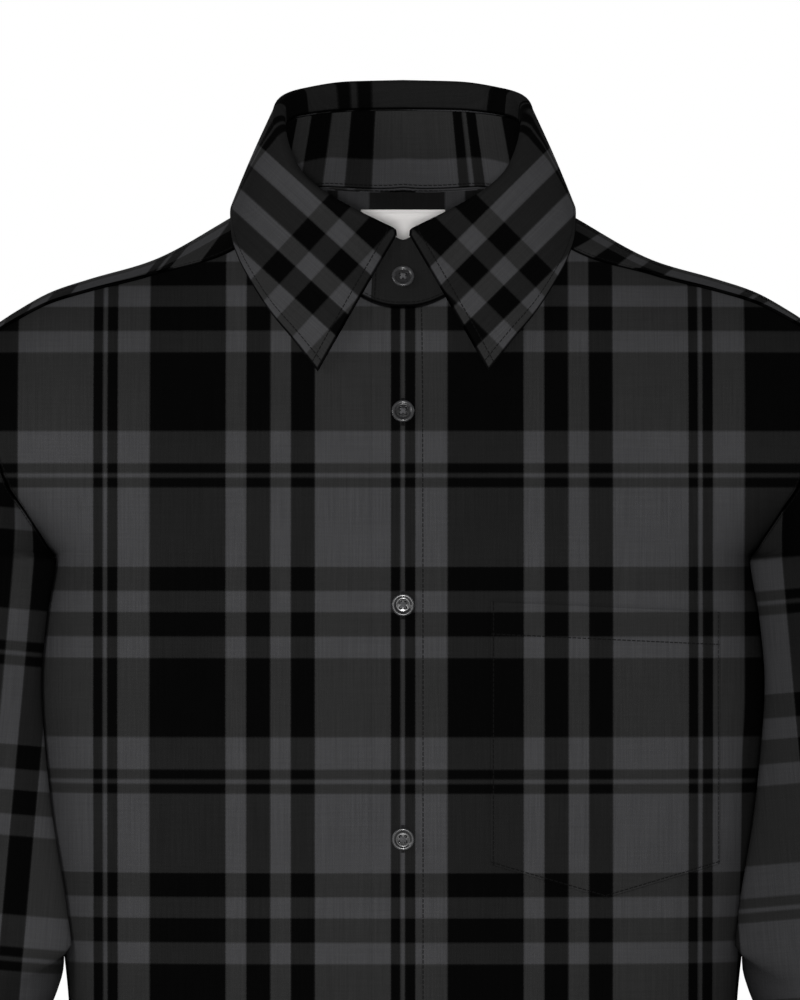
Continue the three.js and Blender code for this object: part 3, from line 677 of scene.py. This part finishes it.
# Materials
class Tree:
    """Short names for building a material's nodes."""

    def __init__(self, name):
        self.material = bpy.data.materials.new(name)
        self.material.use_nodes = True
        self.nodes = self.material.node_tree.nodes
        self.links = self.material.node_tree.links
        self.shader = self.nodes["Principled BSDF"]

    def put(self, socket, value):
        if isinstance(value, bpy.types.NodeSocket):
            self.links.new(value, socket)
        else:
            socket.default_value = value

    def fill(self, node, values):
        for name, value in values.items():
            self.put(node.inputs[name], value)
        return node

    def math(self, operation, a, b=0.0, c=0.0):
        node = self.nodes.new("ShaderNodeMath")
        node.operation = operation
        for socket, value in zip(node.inputs, (a, b, c)):
            self.put(socket, value)
        return node.outputs[0]

    def times(self, a, b):
        return self.math("MULTIPLY", a, b)

    def scaled(self, value, gain, base):
        return self.math("MULTIPLY_ADD", value, gain, base)

    def apart(self, a, b):
        return self.math("ABSOLUTE", self.math("SUBTRACT", a, b))

    def uv(self, layer):
        node = self.nodes.new("ShaderNodeUVMap")
        node.uv_map = layer
        split = self.nodes.new("ShaderNodeSeparateXYZ")
        self.links.new(node.outputs[0], split.inputs[0])
        return split.outputs[0], split.outputs[1]

    def join(self, x, y, z=0.0):
        node = self.nodes.new("ShaderNodeCombineXYZ")
        for socket, value in zip(node.inputs, (x, y, z)):
            self.put(socket, value)
        return node.outputs[0]

    def noise(self, vector, scale, detail=2.0, roughness=0.5):
        node = self.nodes.new("ShaderNodeTexNoise")
        values = {"Vector": vector, "Scale": scale, "Detail": detail, "Roughness": roughness}
        return self.fill(node, values).outputs[0]

    def ramp(self, value, stops):
        node = self.nodes.new("ShaderNodeValToRGB")
        elements = node.color_ramp.elements
        while len(elements) > 1:
            elements.remove(elements[-1])
        elements[0].position, elements[0].color = stops[0][0], (*[stops[0][1]] * 3, 1)
        for position, tone in stops[1:]:
            elements.new(position).color = (tone, tone, tone, 1)
        self.links.new(value, node.inputs[0])
        return node.outputs[0]

    def range(self, value, from_min, from_max, to_min, to_max, kind="LINEAR"):
        node = self.nodes.new("ShaderNodeMapRange")
        node.interpolation_type = kind
        for socket, v in zip(node.inputs, (value, from_min, from_max, to_min, to_max)):
            self.put(socket, v)
        return node.outputs[0]

    def within(self, distance, full, none):
        """1 up to one distance and 0 from another on."""
        return self.range(distance, full, none, 1.0, 0.0, "SMOOTHSTEP")

    def fold(self, operation, values):
        """One value from several, such as the largest."""
        result = values[0]
        for value in values[1:]:
            result = self.math(operation, result, value)
        return result

    def mix(self, factor, a, b, blend="MIX"):
        node = self.nodes.new("ShaderNodeMix")
        node.data_type, node.blend_type = "RGBA", blend
        self.put(node.inputs[0], factor)
        self.put(node.inputs[6], a)
        self.put(node.inputs[7], b)
        return node.outputs[2]

    def bump(self, height, strength, distance):
        node = self.nodes.new("ShaderNodeBump")
        values = {"Height": height, "Strength": strength, "Distance": distance}
        return self.fill(node, values).outputs[0]

    def surface(self, colour, normal, roughness, specular):
        self.fill(self.shader, {"Base Color": colour, "Normal": normal, "Roughness": roughness,
                                "Specular IOR Level": specular})
        return self.material


# The sett, from the wide black stripe on: widths in millimetres, black and grey in turn
WARP = (42.0, 11.2, 13.4, 11.1, 13.3, 41.6, 5.4, 2.3, 5.8, 17.5)
WEFT = (43.5, 11.7, 13.5, 11.5, 13.3, 43.5, 5.5, 2.4, 5.5, 17.6)
WARP_START, WEFT_START = -139.3, -124.4
SOFT_EDGE = 0.7


def stripes(tree, coordinate, widths, start):
    """1 in grey stripes and 0 in black ones, for a coordinate in metres."""
    period = sum(widths)
    place = tree.scaled(coordinate, 1 / (period * MM), -start / period)
    place = tree.math("FRACT", place)
    stops, edge = [(0.0, 0.5), (SOFT_EDGE / 2 / period, 0.0)], 0.0
    for k, width in enumerate(widths[:-1]):
        edge += width
        grey = (k + 1) % 2
        stops += [((edge - SOFT_EDGE / 2) / period, 1.0 - grey),
                  ((edge + SOFT_EDGE / 2) / period, float(grey))]
    stops += [(1 - SOFT_EDGE / 2 / period, 1.0), (1.0, 0.5)]
    return tree.ramp(place, stops)


def tone(value, blue=1.0):
    linear = ((value / 255 + 0.055) / 1.055) ** 2.4 if value > 10 else value / 255 / 12.92
    return (linear, linear, linear * blue, 1)


# Warp over weft
BLACK_BLACK, GREY_BLACK, BLACK_GREY, GREY_GREY = tone(5.5), tone(43.5), tone(29.5), tone(64, 1.05)
THREAD_TONE = tone(17)
# In metres: pitches, and half sizes at which a stitch or buttonhole is full and at which it is gone
TWILL_PITCH, SATIN_PITCH, STITCH_PITCH = 0.0011, 0.0007, 0.0028
DENT_WIDTH, THREAD_WIDTH, STITCH_SHARE = (0.0, 0.0009), (0.0002, 0.00045), (0.34, 0.42)
HOLE_LENGTH, HOLE_WIDTH, SLIT_WIDTH = (0.0074, 0.0079), (0.0011, 0.0014), (0.0001, 0.0003)


def flannel(name, seams=(), stitches=(), edge=0.3, painted_shade=1.0, buttonholes=()):
    """Brushed plaid cloth. seams are the borders darkened with painted shade, as of a seam's groove in
    shade, edge millimetres wide at its darkest; stitches are (border, distance) and buttonholes are levels
    on the front's middle line, in millimetres; painted_shade is how much of its brightness the cloth keeps,
    as painted shade over the whole piece."""
    t = Tree(name)
    u, v = t.uv("plaid")
    left, right = t.uv("sides")
    bottom, top = t.uv("ends")
    borders = (left, right, bottom, top)
    along = (bottom, bottom, left, left)
    flat = t.join(u, v)
    fuzz = t.scaled(t.noise(flat, 1400, 3, 0.6), 0.0009, -0.00045)
    warp = stripes(t, t.math("ADD", u, fuzz), WARP, WARP_START)
    weft = stripes(t, t.math("ADD", v, fuzz), WEFT, WEFT_START)
    over_grey = t.mix(warp, BLACK_GREY, GREY_GREY)
    over_black = t.mix(warp, BLACK_BLACK, GREY_BLACK)
    colour = t.mix(weft, over_black, over_grey)

    # Yarns: long faint streaks down the warp, shorter ones across, and a fine mottle of nap
    warp_yarn = t.noise(t.join(u, t.times(v, 0.02)), 1100, 2, 0.7)
    weft_yarn = t.noise(t.join(t.times(u, 0.03), v), 900, 2, 0.7)
    nap = t.noise(flat, 2400, 4, 0.65)
    blot = t.noise(flat, 45, 3, 0.5)
    level = t.scaled(warp_yarn, 0.55, 0.725)
    for grain, gain, least in ((weft_yarn, 0.26, 0.87), (nap, 0.30, 0.85), (blot, 0.16, 0.92)):
        level = t.times(level, t.scaled(grain, gain, least))
    height = t.math("ADD", t.times(nap, 0.6), t.times(warp_yarn, 0.4))

    # A twill's fine diagonal ribs
    rib = t.math("SINE", t.times(t.math("ADD", u, v), 2 * math.pi / TWILL_PITCH))
    height = t.scaled(rib, 0.10, height)

    # Painted shade: the whole piece is darkened, standing for shade on a side turned from the light.
    if painted_shade != 1.0:
        level = t.times(level, painted_shade)

    # Painted shade: the cloth darkens towards its seamed borders, as the shade in a seam's groove and in
    # the gap to the next piece.
    if seams:
        near = [t.range(borders[k], edge * MM, (edge + 1.0) * MM, 0.0, 1.0, "SMOOTHSTEP") for k in seams]
        groove = t.fold("MINIMUM", near)
        level = t.times(level, t.scaled(groove, 0.9, 0.10))
    dents, threads = [], []
    for k, distance in stitches:
        off = t.apart(borders[k], distance * MM)
        dents.append(t.within(off, *DENT_WIDTH))
        phase = t.math("FRACT", t.times(along[k], 1 / STITCH_PITCH))
        dash = t.within(t.apart(phase, 0.5), *STITCH_SHARE)
        threads.append(t.times(t.within(off, *THREAD_WIDTH), dash))
    if buttonholes:
        levels = [t.apart(v, z * MM) for z in buttonholes]
        hole = t.fold("MAXIMUM", [t.within(off, *HOLE_LENGTH) for off in levels])
        off = t.math("ABSOLUTE", u)
        hole = t.times(hole, t.within(off, *HOLE_WIDTH))
        satin_rib = t.math("SINE", t.times(v, 2 * math.pi / SATIN_PITCH))
        slit = t.times(hole, t.within(off, *SLIT_WIDTH))
        level = t.times(level, t.scaled(hole, -0.55, 1.0))
        level = t.times(level, t.scaled(slit, -0.9, 1.0))
        height = t.scaled(hole, t.scaled(satin_rib, 0.4, 0.9), height)
    colour = t.mix(1.0, colour, t.join(level, level, level), "MULTIPLY")
    if stitches:
        dent, thread_line = t.fold("MAXIMUM", dents), t.fold("MAXIMUM", threads)
        colour = t.mix(t.times(thread_line, 0.8), colour, THREAD_TONE)
        raised, sunk = t.times(thread_line, 1.2), t.times(dent, 1.3)
        height = t.math("ADD", height, t.math("SUBTRACT", raised, sunk))
    return t.surface(colour, t.bump(height, 0.5, 0.0004), 1.0, 0.01)


def satin(name):
    t = Tree(name)
    u, v = t.uv("plaid")
    flat = t.join(u, v)
    yarn = t.noise(t.join(t.times(u, 0.04), v), 2500, 2, 0.6)
    wear = t.noise(flat, 90, 3, 0.5)
    level = t.math("ADD", t.times(yarn, 0.10), t.scaled(wear, 0.10, 0.84))
    colour = t.mix(level, (0.80, 0.76, 0.74, 1), (0.98, 0.955, 0.94, 1))
    return t.surface(colour, t.bump(yarn, 0.4, 0.0002), 0.55, 0.3)


def resin(name):
    """Smoky resin, with a painted highlight: a little lighter colour on the rim."""
    t = Tree(name)
    x, y = t.uv("disc")
    radius = t.math("SQRT", t.math("ADD", t.times(x, x), t.times(y, y)))
    swirl = t.noise(t.join(x, y), 260, 3, 0.6)
    # Painted highlight: the rim gets a lighter colour than the dish.
    rim = t.range(radius, 0.0042, 0.0050, 0.0, 1.0, "SMOOTHSTEP")
    dish = t.mix(swirl, (0.006, 0.006, 0.0065, 1), (0.018, 0.018, 0.019, 1))
    edge = t.mix(swirl, (0.018, 0.018, 0.019, 1), (0.042, 0.042, 0.044, 1))
    polish = t.range(t.noise(t.join(x, y), 900, 2), 0.3, 0.7, 0.24, 0.36)
    t.fill(t.shader, {"Base Color": t.mix(rim, dish, edge), "Roughness": polish,
                      "Coat Weight": 0.25, "Coat Roughness": 0.12})
    return t.material


def thread(name):
    t = Tree(name)
    x, y = t.uv("disc")
    strand = t.noise(t.join(x, y), 3500, 2, 0.6)
    colour = t.mix(strand, (0.045, 0.045, 0.047, 1), (0.13, 0.13, 0.135, 1))
    return t.surface(colour, t.bump(strand, 0.6, 0.0002), 0.9, 0.1)


# Pieces
def cloth_piece(node, grid, plaid, flat, area, material, wall=CLOTH_WALL, held="hung", rests_on=(),
                **shell):
    piece = Cloth(f"shirt_{node}", grid, plaid, wall, **shell).make(material)
    hand_in(piece, node)


def mirrored(grid):
    return (grid * (-1, 1, 1))[::-1]


LEFT, RIGHT, BOTTOM, TOP = range(4)
STAND_BUTTON_Z = -40.7
FRONT_BUTTONS_Z = (-113.9, -220, -348, -460, -572, -670)
# Each piece's start in the sett, in millimetres, where it isn't at the frame's own zero
YOKE_U, YOKE_FACING_U = -27.3, -120.6
CUFF_U = 40
# side, u, v, painted shade: the share of its brightness the cloth keeps
SLEEVE_PAINTED_SHADE = (("left", 160.0, 69.8, 0.78), ("right", 141.3, 98.3, 1.0))

left_front = front_grid(False)
cloth_piece(
    "front_left", left_front, body_plaid(left_front, 1), (0.26, 0.78), 0.192,
    flannel("flannel_front_left", (RIGHT, TOP), ((BOTTOM, 7), (RIGHT, 2), (LEFT, 28)),
            buttonholes=FRONT_BUTTONS_Z),
    seams=(RIGHT, TOP))
right_front = mirrored(front_grid(True))
cloth_piece(
    "front_right", right_front, body_plaid(right_front, 1), (0.26, 0.78), 0.192,
    flannel("flannel_front_right", (LEFT, TOP), ((BOTTOM, 7), (LEFT, 2))),
    seams=(LEFT, TOP))
back = back_grid()
cloth_piece(
    "back", back, body_plaid(back, -1, v_from_z=False), (0.5, 0.72), 0.332,
    flannel("flannel_back", (LEFT, RIGHT, TOP), ((BOTTOM, 7), (LEFT, 2), (RIGHT, 2))),
    seams=(LEFT, RIGHT, TOP))


def yoke_plaids(grid):
    """The plaid outside, whose warp slants off at the front seam, and the one on the facing inside."""
    profile = body(110.0, np.linspace(260, -330, 300))

    def turn(points):
        return np.arctan2(points[..., 1] - SIDE_Y, points[..., 2] + 260)

    x, y, z = grid[..., 0], grid[..., 1], grid[..., 2]
    v = np.interp(turn(grid), turn(profile), length_along(profile))
    over_seam = np.where(y < SIDE_Y, z - shoulder_z(np.abs(x)), 0)
    slant = np.maximum(0, over_seam + yoke_drop(np.abs(x)))
    return np.stack([x + YOKE_U - slant, v], -1), np.stack([x + YOKE_FACING_U, v], -1)


yoke = yoke_grid()
yoke_plaid, yoke_facing_plaid = yoke_plaids(yoke)
cloth_piece(
    "yoke", yoke, yoke_plaid, (0.48, 0.2), 0.061,
    flannel("flannel_yoke", (LEFT, RIGHT, BOTTOM), ((LEFT, 2), (RIGHT, 2), (BOTTOM, 2))),
    seams=(LEFT, RIGHT, BOTTOM, TOP), inside_plaid=yoke_facing_plaid)


# The sleeve leans out as it goes down, turned about a point at its head. Its stripes are counted
# from the front of a row below the head
SLEEVE_LEAN = math.radians(5.1)
LEAN_X, LEAN_Z = 206, -200
COUNTED_ROW = 60


def sleeve_plaid(grid, u_shift, v_shift):
    """Stripes that follow the sleeve's lean, flat in front and behind."""
    c, s = math.cos(SLEEVE_LEAN), math.sin(SLEEVE_LEAN)
    x, y, up = grid[..., 0], grid[..., 1], grid[..., 2] - LEAN_Z
    across = x * c + up * s
    v = up * c - (x - LEAN_X) * s + LEAN_Z
    length = steps_along(grid, 0)[1]
    dv = np.diff(v, axis=0)
    true = np.sqrt(np.maximum(length ** 2 - dv ** 2, 0))
    centre = (x.max(axis=0) + x.min(axis=0)) / 2
    middle = (x[1:] + x[:-1]) / 2
    weight = smooth((middle - centre) / 22 + 0.3)
    du = mix(np.abs(np.diff(across, axis=0)), true, weight)
    start = int(np.argmin(y[:, COUNTED_ROW]))
    u = running(du, 0, start) + across[start:start + 1]
    behind = smooth((y - y.mean(axis=0) + 8) / 36)
    offset = np.median((u + across)[behind > 0.99])
    u = mix(u, offset - across, behind)
    return np.stack([-u + u_shift, v + v_shift], -1)


# The left sleeve and its cuff are darkened by painted shade.
for side, u_shift, v_shift, painted_shade in SLEEVE_PAINTED_SHADE:
    grid = sleeve_grid()
    plaid = sleeve_plaid(grid, u_shift, v_shift)
    if side == "right":
        grid, plaid = mirrored(grid), plaid[::-1]
    cloth_piece(
        f"sleeve_{side}", grid, plaid, (0.42, 0.56), 0.164,
        flannel(f"flannel_sleeve_{side}", (BOTTOM, TOP, LEFT, RIGHT), ((TOP, 2), (BOTTOM, 2)), painted_shade=painted_shade),
        closed=True, seams=(BOTTOM, TOP))
    grid = cuff_grid()
    plaid = np.stack([edge_distances(grid)[0] + CUFF_U, grid[..., 2] + v_shift], -1)
    if side == "right":
        grid, plaid = mirrored(grid), plaid[::-1]
    cloth_piece(
        f"cuff_{side}", grid, plaid, (0.26, 0.065), 0.016,
        flannel(f"flannel_cuff_{side}", (TOP,), ((LEFT, 5), (RIGHT, 5), (BOTTOM, 5), (TOP, 4)), painted_shade=painted_shade),
        BAND_WALL)

# The stand's plaid: its start at the back's middle, and how it turns to the front's by the button
STAND_U, STAND_V, STAND_SHARE = -33.5, -140.8, 0.9
STAND_BUTTON_U, STAND_DROP = 208.9, 57
STAND_TURN, STAND_TURN_FADE = 90, 100
STAND_MIDDLE_ROW = 10


def stand_plaid(grid, angle):
    steps = np.linalg.norm(np.diff(grid[:, STAND_MIDDLE_ROW], axis=0), axis=-1)
    arc = running(steps, 0, len(grid) // 2)
    height = edge_distances(grid)[2]
    to_front = smooth((np.abs(arc) - STAND_TURN) / STAND_TURN_FADE)
    button_u = STAND_U - STAND_SHARE * np.interp(0, angle, arc)
    shift = (STAND_BUTTON_U - button_u) * np.sign(arc) * to_front
    u = np.broadcast_to((STAND_U - STAND_SHARE * arc - shift)[:, None], height.shape)
    return np.stack([u, height + STAND_V - STAND_DROP * to_front[:, None]], -1)


stand, stand_angle = stand_grid()
cloth_piece(
    "collar_stand", stand, stand_plaid(stand, stand_angle), (0.43, 0.045), 0.0165,
    flannel("flannel_stand", (BOTTOM,), ((BOTTOM, 2), (LEFT, 2), (RIGHT, 2))), BAND_WALL)


# The leaf's plaid behind the neck, where the warp is wider: how far it reaches to the left and right
ROLL_REACH = ((115, 55), (95, 40))
ROLL_V, ROLL_MIDDLE, ROLL_STRETCH = 19.3, 29, 1.65
LEAF_U, LEAF_V, LEAF_STEP, LEAF_STEP_SPAN = -101.9, -76, 4.3, 80
# In front, two narrow black stripes cross at this u and v: x, z and slope of the crossing on each point
CROSSING_U, CROSSING_V = -79.5, -37.55
CROSSINGS = ((55.6, -18.6, 45.0), (51.8, -16.1, 42.5))
LEAF_TURN_U, LEAF_TURN_V, LEAF_TURN_FADE = 152, 112, 45


def leaf_front(x, z, at_x, at_z, slope):
    c, s = math.cos(math.radians(slope)), math.sin(math.radians(slope))
    out, down = np.abs(x) - at_x, at_z - z
    return CROSSING_U + out * s + down * c, CROSSING_V + out * c - down * s


def leaf_plaid(grid, angle, fold_row):
    """Stripes along and across the fold, which lie flat on each point in front."""
    fold_line = grid[:, fold_row]
    tangent = unit(np.gradient(fold_line, axis=0))
    arc = running(np.linalg.norm(np.diff(fold_line, axis=0), axis=-1), 0, len(grid) // 2)
    step = np.diff(grid, axis=1)
    along = np.einsum("ijk,ik->ij", step, tangent)
    across = np.sqrt(np.maximum(np.einsum("ijk,ijk->ij", step, step) - along ** 2, 0))
    toward_back = np.where(np.arange(len(grid)) < len(grid) // 2, 1, -1)[:, None]
    from_back = np.abs(arc)[:, None] - running(along, 1, fold_row) * toward_back
    left, right = (smooth((reach - from_back) / fade) for reach, fade in ROLL_REACH)
    roll_v = ROLL_V - (toward_back * from_back + ROLL_MIDDLE) / ROLL_STRETCH
    v = mix(arc.max() - from_back + LEAF_V, roll_v, np.where(toward_back > 0, left, right))
    u = LEAF_U - running(across, 1, fold_row)
    u = u - LEAF_STEP * smooth(0.5 + toward_back * from_back / LEAF_STEP_SPAN)
    u_weight = smooth((LEAF_TURN_U - from_front(angle)) / LEAF_TURN_FADE)[:, None]
    v_weight = smooth((LEAF_TURN_V - from_front(angle)) / LEAF_TURN_FADE)[:, None]
    for half, crossing in zip((angle <= 180, angle > 180), CROSSINGS):
        flat_u, flat_v = leaf_front(grid[half][..., 0], grid[half][..., 2], *crossing)
        u[half] = mix(u[half], flat_u, u_weight[half])
        v[half] = mix(v[half], flat_v, v_weight[half])
    return np.stack([u, v], -1)


leaf, leaf_angle, fold_row = leaf_grid()
# On the leaf the band of painted shade along its borders is wider, as the shade under a turned edge.
cloth_piece(
    "collar_leaf", leaf, leaf_plaid(leaf, leaf_angle, fold_row), (0.45, 0.09), 0.0355,
    flannel("flannel_leaf", (LEFT, RIGHT, BOTTOM, TOP), ((LEFT, 5.5), (RIGHT, 5.5), (BOTTOM, 5.5)),
            edge=0.7),
    BAND_WALL, seams=(LEFT, RIGHT, BOTTOM), press_depth=0.5)

pocket = pocket_grid()
cloth_piece(
    "chest_pocket", pocket, pocket[..., (0, 2)], (0.13, 0.17), 0.0206,
    flannel("flannel_pocket", stitches=((LEFT, 1.5), (RIGHT, 1.5), (BOTTOM, 1.5), (TOP, 18))),
    held="laid", rests_on=["shirt_front_left"], seams=(LEFT, RIGHT, BOTTOM), press_depth=0.3)

label = label_grid()
label_piece = Cloth("shirt_neck_label", label, label[..., (0, 2)], LABEL_WALL).make(satin("label_satin"))
hand_in(label_piece, "neck_label")


# Buttons: a disc with a raised rim, a dished middle with four holes, and thread crossed over them
BUTTON_RADIUS, HOLE_OUT, HOLE_RADIUS, HOLE_DEPTH = 6.3, 1.45, 0.72, 1.5
STRAND_RADIUS, STRAND_STEPS, STRAND_OFFSETS = 0.29, 8, (-0.46, 0, 0.46)
# Height over radius, both in millimetres
BUTTON_PROFILE = np.array([
    (0, 1.85), (2.6, 1.78), (3.6, 1.7), (4.1, 1.78), (4.6, 2.2),
    (5.0, 2.38), (5.5, 2.4), (5.95, 2.2), (6.2, 1.75), (6.3, 1.1),
])


def button_disc():
    """Points and faces of one button that lies on z = 0 and faces +z."""
    n = 61
    a, b = np.meshgrid(np.linspace(-1, 1, n), np.linspace(-1, 1, n), indexing="ij")
    x = a * np.sqrt(1 - b * b / 2) * BUTTON_RADIUS
    y = b * np.sqrt(1 - a * a / 2) * BUTTON_RADIUS
    z = curve(BUTTON_PROFILE[:, 0], BUTTON_PROFILE[:, 1])(np.hypot(x, y))
    for hx in (-HOLE_OUT, HOLE_OUT):
        for hy in (-HOLE_OUT, HOLE_OUT):
            z = z - HOLE_DEPTH * smooth((HOLE_RADIUS + 0.1 - np.hypot(x - hx, y - hy)) / 0.25)
    node = np.arange(n * n).reshape(n, n)
    quads = np.stack([node[:-1, :-1], node[1:, :-1], node[1:, 1:], node[:-1, 1:]], -1).reshape(-1, 4)
    border = np.concatenate([node[:-1, 0], node[-1, :-1], node[:0:-1, -1], node[0, :0:-1]])
    following = np.roll(border, -1)
    side = np.stack([border, border + n * n, following + n * n, following], -1)
    top, bottom = np.stack([x, y, z], -1), np.stack([x * 0.93, y * 0.93, 0 * z], -1)
    points = np.concatenate([top.reshape(-1, 3), bottom.reshape(-1, 3)])
    return points, np.concatenate([quads, quads[:, ::-1] + n * n, side])


def button_threads():
    """Six strands in two crossing bundles that rise out of the holes."""
    points, faces = [], []
    ring = np.linspace(0, 2 * np.pi, STRAND_STEPS, endpoint=False)
    way = np.linspace(-1, 1, 15)
    reach = HOLE_OUT * math.sqrt(2) * 1.02
    up = np.array([0, 0, 1.0])
    for lift, (ax, ay) in ((0.0, (1, 1)), (0.3, (1, -1))):
        along = np.array([ax, ay, 0]) / math.sqrt(2)
        across = np.array([-ay, ax, 0]) / math.sqrt(2)
        for offset in STRAND_OFFSETS:
            rise = 1.0 + (1.35 + lift) * (1 - way ** 6) - 0.2 * abs(offset)
            centre = along * (way * reach)[:, None] + across * offset + up * rise[:, None]
            section = across * np.cos(ring)[:, None] + up * np.sin(ring)[:, None]
            tube = centre[:, None] + STRAND_RADIUS * section
            node = np.arange(len(way) * STRAND_STEPS).reshape(-1, STRAND_STEPS) + sum(map(len, points))
            turned = np.roll(node, -1, axis=1)
            faces.append(np.stack([node[:-1], node[1:], turned[1:], turned[:-1]], -1).reshape(-1, 4))
            points.append(tube.reshape(-1, 3))
    return np.concatenate(points), np.concatenate(faces)


def make_button(node, point, normal, materials):
    disc_points, disc_faces = button_disc()
    thread_points, thread_faces = button_threads()
    face_out = Vector(normal).normalized()
    turn = np.array(Vector((0, 0, 1)).rotation_difference(face_out).to_matrix())
    points = np.concatenate([disc_points, thread_points])
    faces = np.concatenate([disc_faces, thread_faces + len(disc_points)])
    mesh = bpy.data.meshes.new(node)
    mesh.from_pydata(((points @ turn.T + point) * MM).tolist(), [], faces.tolist())
    uv = mesh.uv_layers.new(name="disc")
    uv.data.foreach_set("uv", (points[faces.ravel(), :2] * MM).astype(np.float32).ravel())
    for material in materials:
        mesh.materials.append(material)
    counts = [len(disc_faces), len(thread_faces)]
    mesh.polygons.foreach_set("material_index", np.repeat([0, 1], counts))
    mesh.polygons.foreach_set("use_smooth", np.ones(len(faces), bool))
    mesh.update()
    hand_in(add_object(f"shirt_{node}", mesh), node)


def stand_button_place():
    share = (STAND_BUTTON_Z - NECK_FRONT_Z) / (float(stand_z(0.0)) - NECK_FRONT_Z)
    front, lap = np.array(0.0), stand_lap(0.0)
    low, high = stand_bottom(front, lap), stand_top(front, lap)
    normal = unit(np.array([0, -(high[2] - low[2]), high[1] - low[1]]))
    return mix(low, high, share) + normal * (SEAM_GAP + 0.7), normal


def cuff_button_place():
    out_x, out_z, in_x, _, depth, y = SLEEVE[-1]
    turn = math.radians(CUFF_CENTRE)
    out = unit(np.array([math.cos(turn) / (out_x - in_x) * 2, math.sin(turn) / depth, 0]))
    level = out_z - CUFF_HEIGHT / 2
    on_cuff = on_sleeve([out_x, level, in_x, level, depth, y], turn)
    return on_cuff + out * (BAND_WALL / 2 - CUFF_SINK + CUFF_LAP + SEAM_GAP + 0.2), out


button_materials = [resin("button_resin"), thread("button_thread")]
for i, z in enumerate(FRONT_BUTTONS_Z):
    place, normal = on_body(0, z, SEAM_GAP + 0.1)
    make_button(f"button_front_{i + 1}", place, normal, button_materials)
make_button("button_stand", *stand_button_place(), button_materials)
place, out = cuff_button_place()
for side, sign in (("left", 1), ("right", -1)):
    make_button(f"button_cuff_{side}", place * (sign, 1, 1), out * (sign, 1, 1), button_materials)


# Floor, light and camera, in metres and watts
FLOOR_HALF, FLOOR_Z = 4, -0.84
# name, location, target, size, power
LIGHTS = (
    ("front", (-0.05, -5.0, -0.1), (0, 0, -0.15), 0.4, 146),
    ("key", (-2.6, -1.5, 0.8), (0, 0, -0.25), 1.4, 24),
    ("side", (2.7, 0.7, 0.7), (0, 0, -0.3), 1.6, 26),
    ("rear", (-0.4, 2.6, 0.8), (0, 0, -0.3), 1.8, 42),
)
# How bright the world is as light on the shirt, and as the camera sees it
WORLD_LIGHT, WORLD_SEEN = 0.15, 1.0


def floor():
    mesh = bpy.data.meshes.new("floor")
    s, z = FLOOR_HALF, FLOOR_Z
    mesh.from_pydata([(-s, -s, z), (s, -s, z), (s, s, z), (-s, s, z)], [], [(0, 1, 2, 3)])
    t = Tree("floor_paint")
    t.shader.inputs["Base Color"].default_value = (0.82, 0.82, 0.81, 1)
    t.shader.inputs["Roughness"].default_value = 0.9
    mesh.materials.append(t.material)
    add_object("floor", mesh)


def area_light(name, location, target, size, power):
    data = bpy.data.lights.new(name, "AREA")
    data.shape, data.size, data.energy = "DISK", size, power
    lamp = add_object(name, data)
    lamp.location = location
    lamp.rotation_euler = (Vector(target) - Vector(location)).to_track_quat("-Z", "Y").to_euler()


floor()
world = bpy.data.worlds.new("studio")
bpy.context.scene.world = world
world.use_nodes = True
nodes, links = world.node_tree.nodes, world.node_tree.links
lighting, seen = nodes["Background"], nodes.new("ShaderNodeBackground")
for background, strength in ((lighting, WORLD_LIGHT), (seen, WORLD_SEEN)):
    background.inputs[0].default_value = (1, 1, 1, 1)
    background.inputs[1].default_value = strength
choose = nodes.new("ShaderNodeMixShader")
links.new(nodes.new("ShaderNodeLightPath").outputs["Is Camera Ray"], choose.inputs[0])
links.new(lighting.outputs[0], choose.inputs[1])
links.new(seen.outputs[0], choose.inputs[2])
links.new(choose.outputs[0], nodes["World Output"].inputs[0])
for light in LIGHTS:
    area_light(*light)

# A long lens, whose frame is 0.55 m high at the chest's front
VIEW_HEIGHT, VIEW_X, VIEW_Z, VIEW_PLANE_Y = 0.550, -0.00165, -0.16225, -0.07
camera_data = bpy.data.cameras.new("camera")
camera_data.lens = 1000
camera_data.sensor_width = 36
distance = VIEW_HEIGHT / 2 * camera_data.lens / (camera_data.sensor_width / 2)
camera_data.clip_start, camera_data.clip_end = 0.5, 200
camera = add_object("camera", camera_data)
camera.location = (VIEW_X, VIEW_PLANE_Y - distance, VIEW_Z)
camera.rotation_euler = (math.pi / 2, 0, 0)
bpy.context.scene.camera = camera
bpy.context.scene.view_settings.view_transform = "Standard"
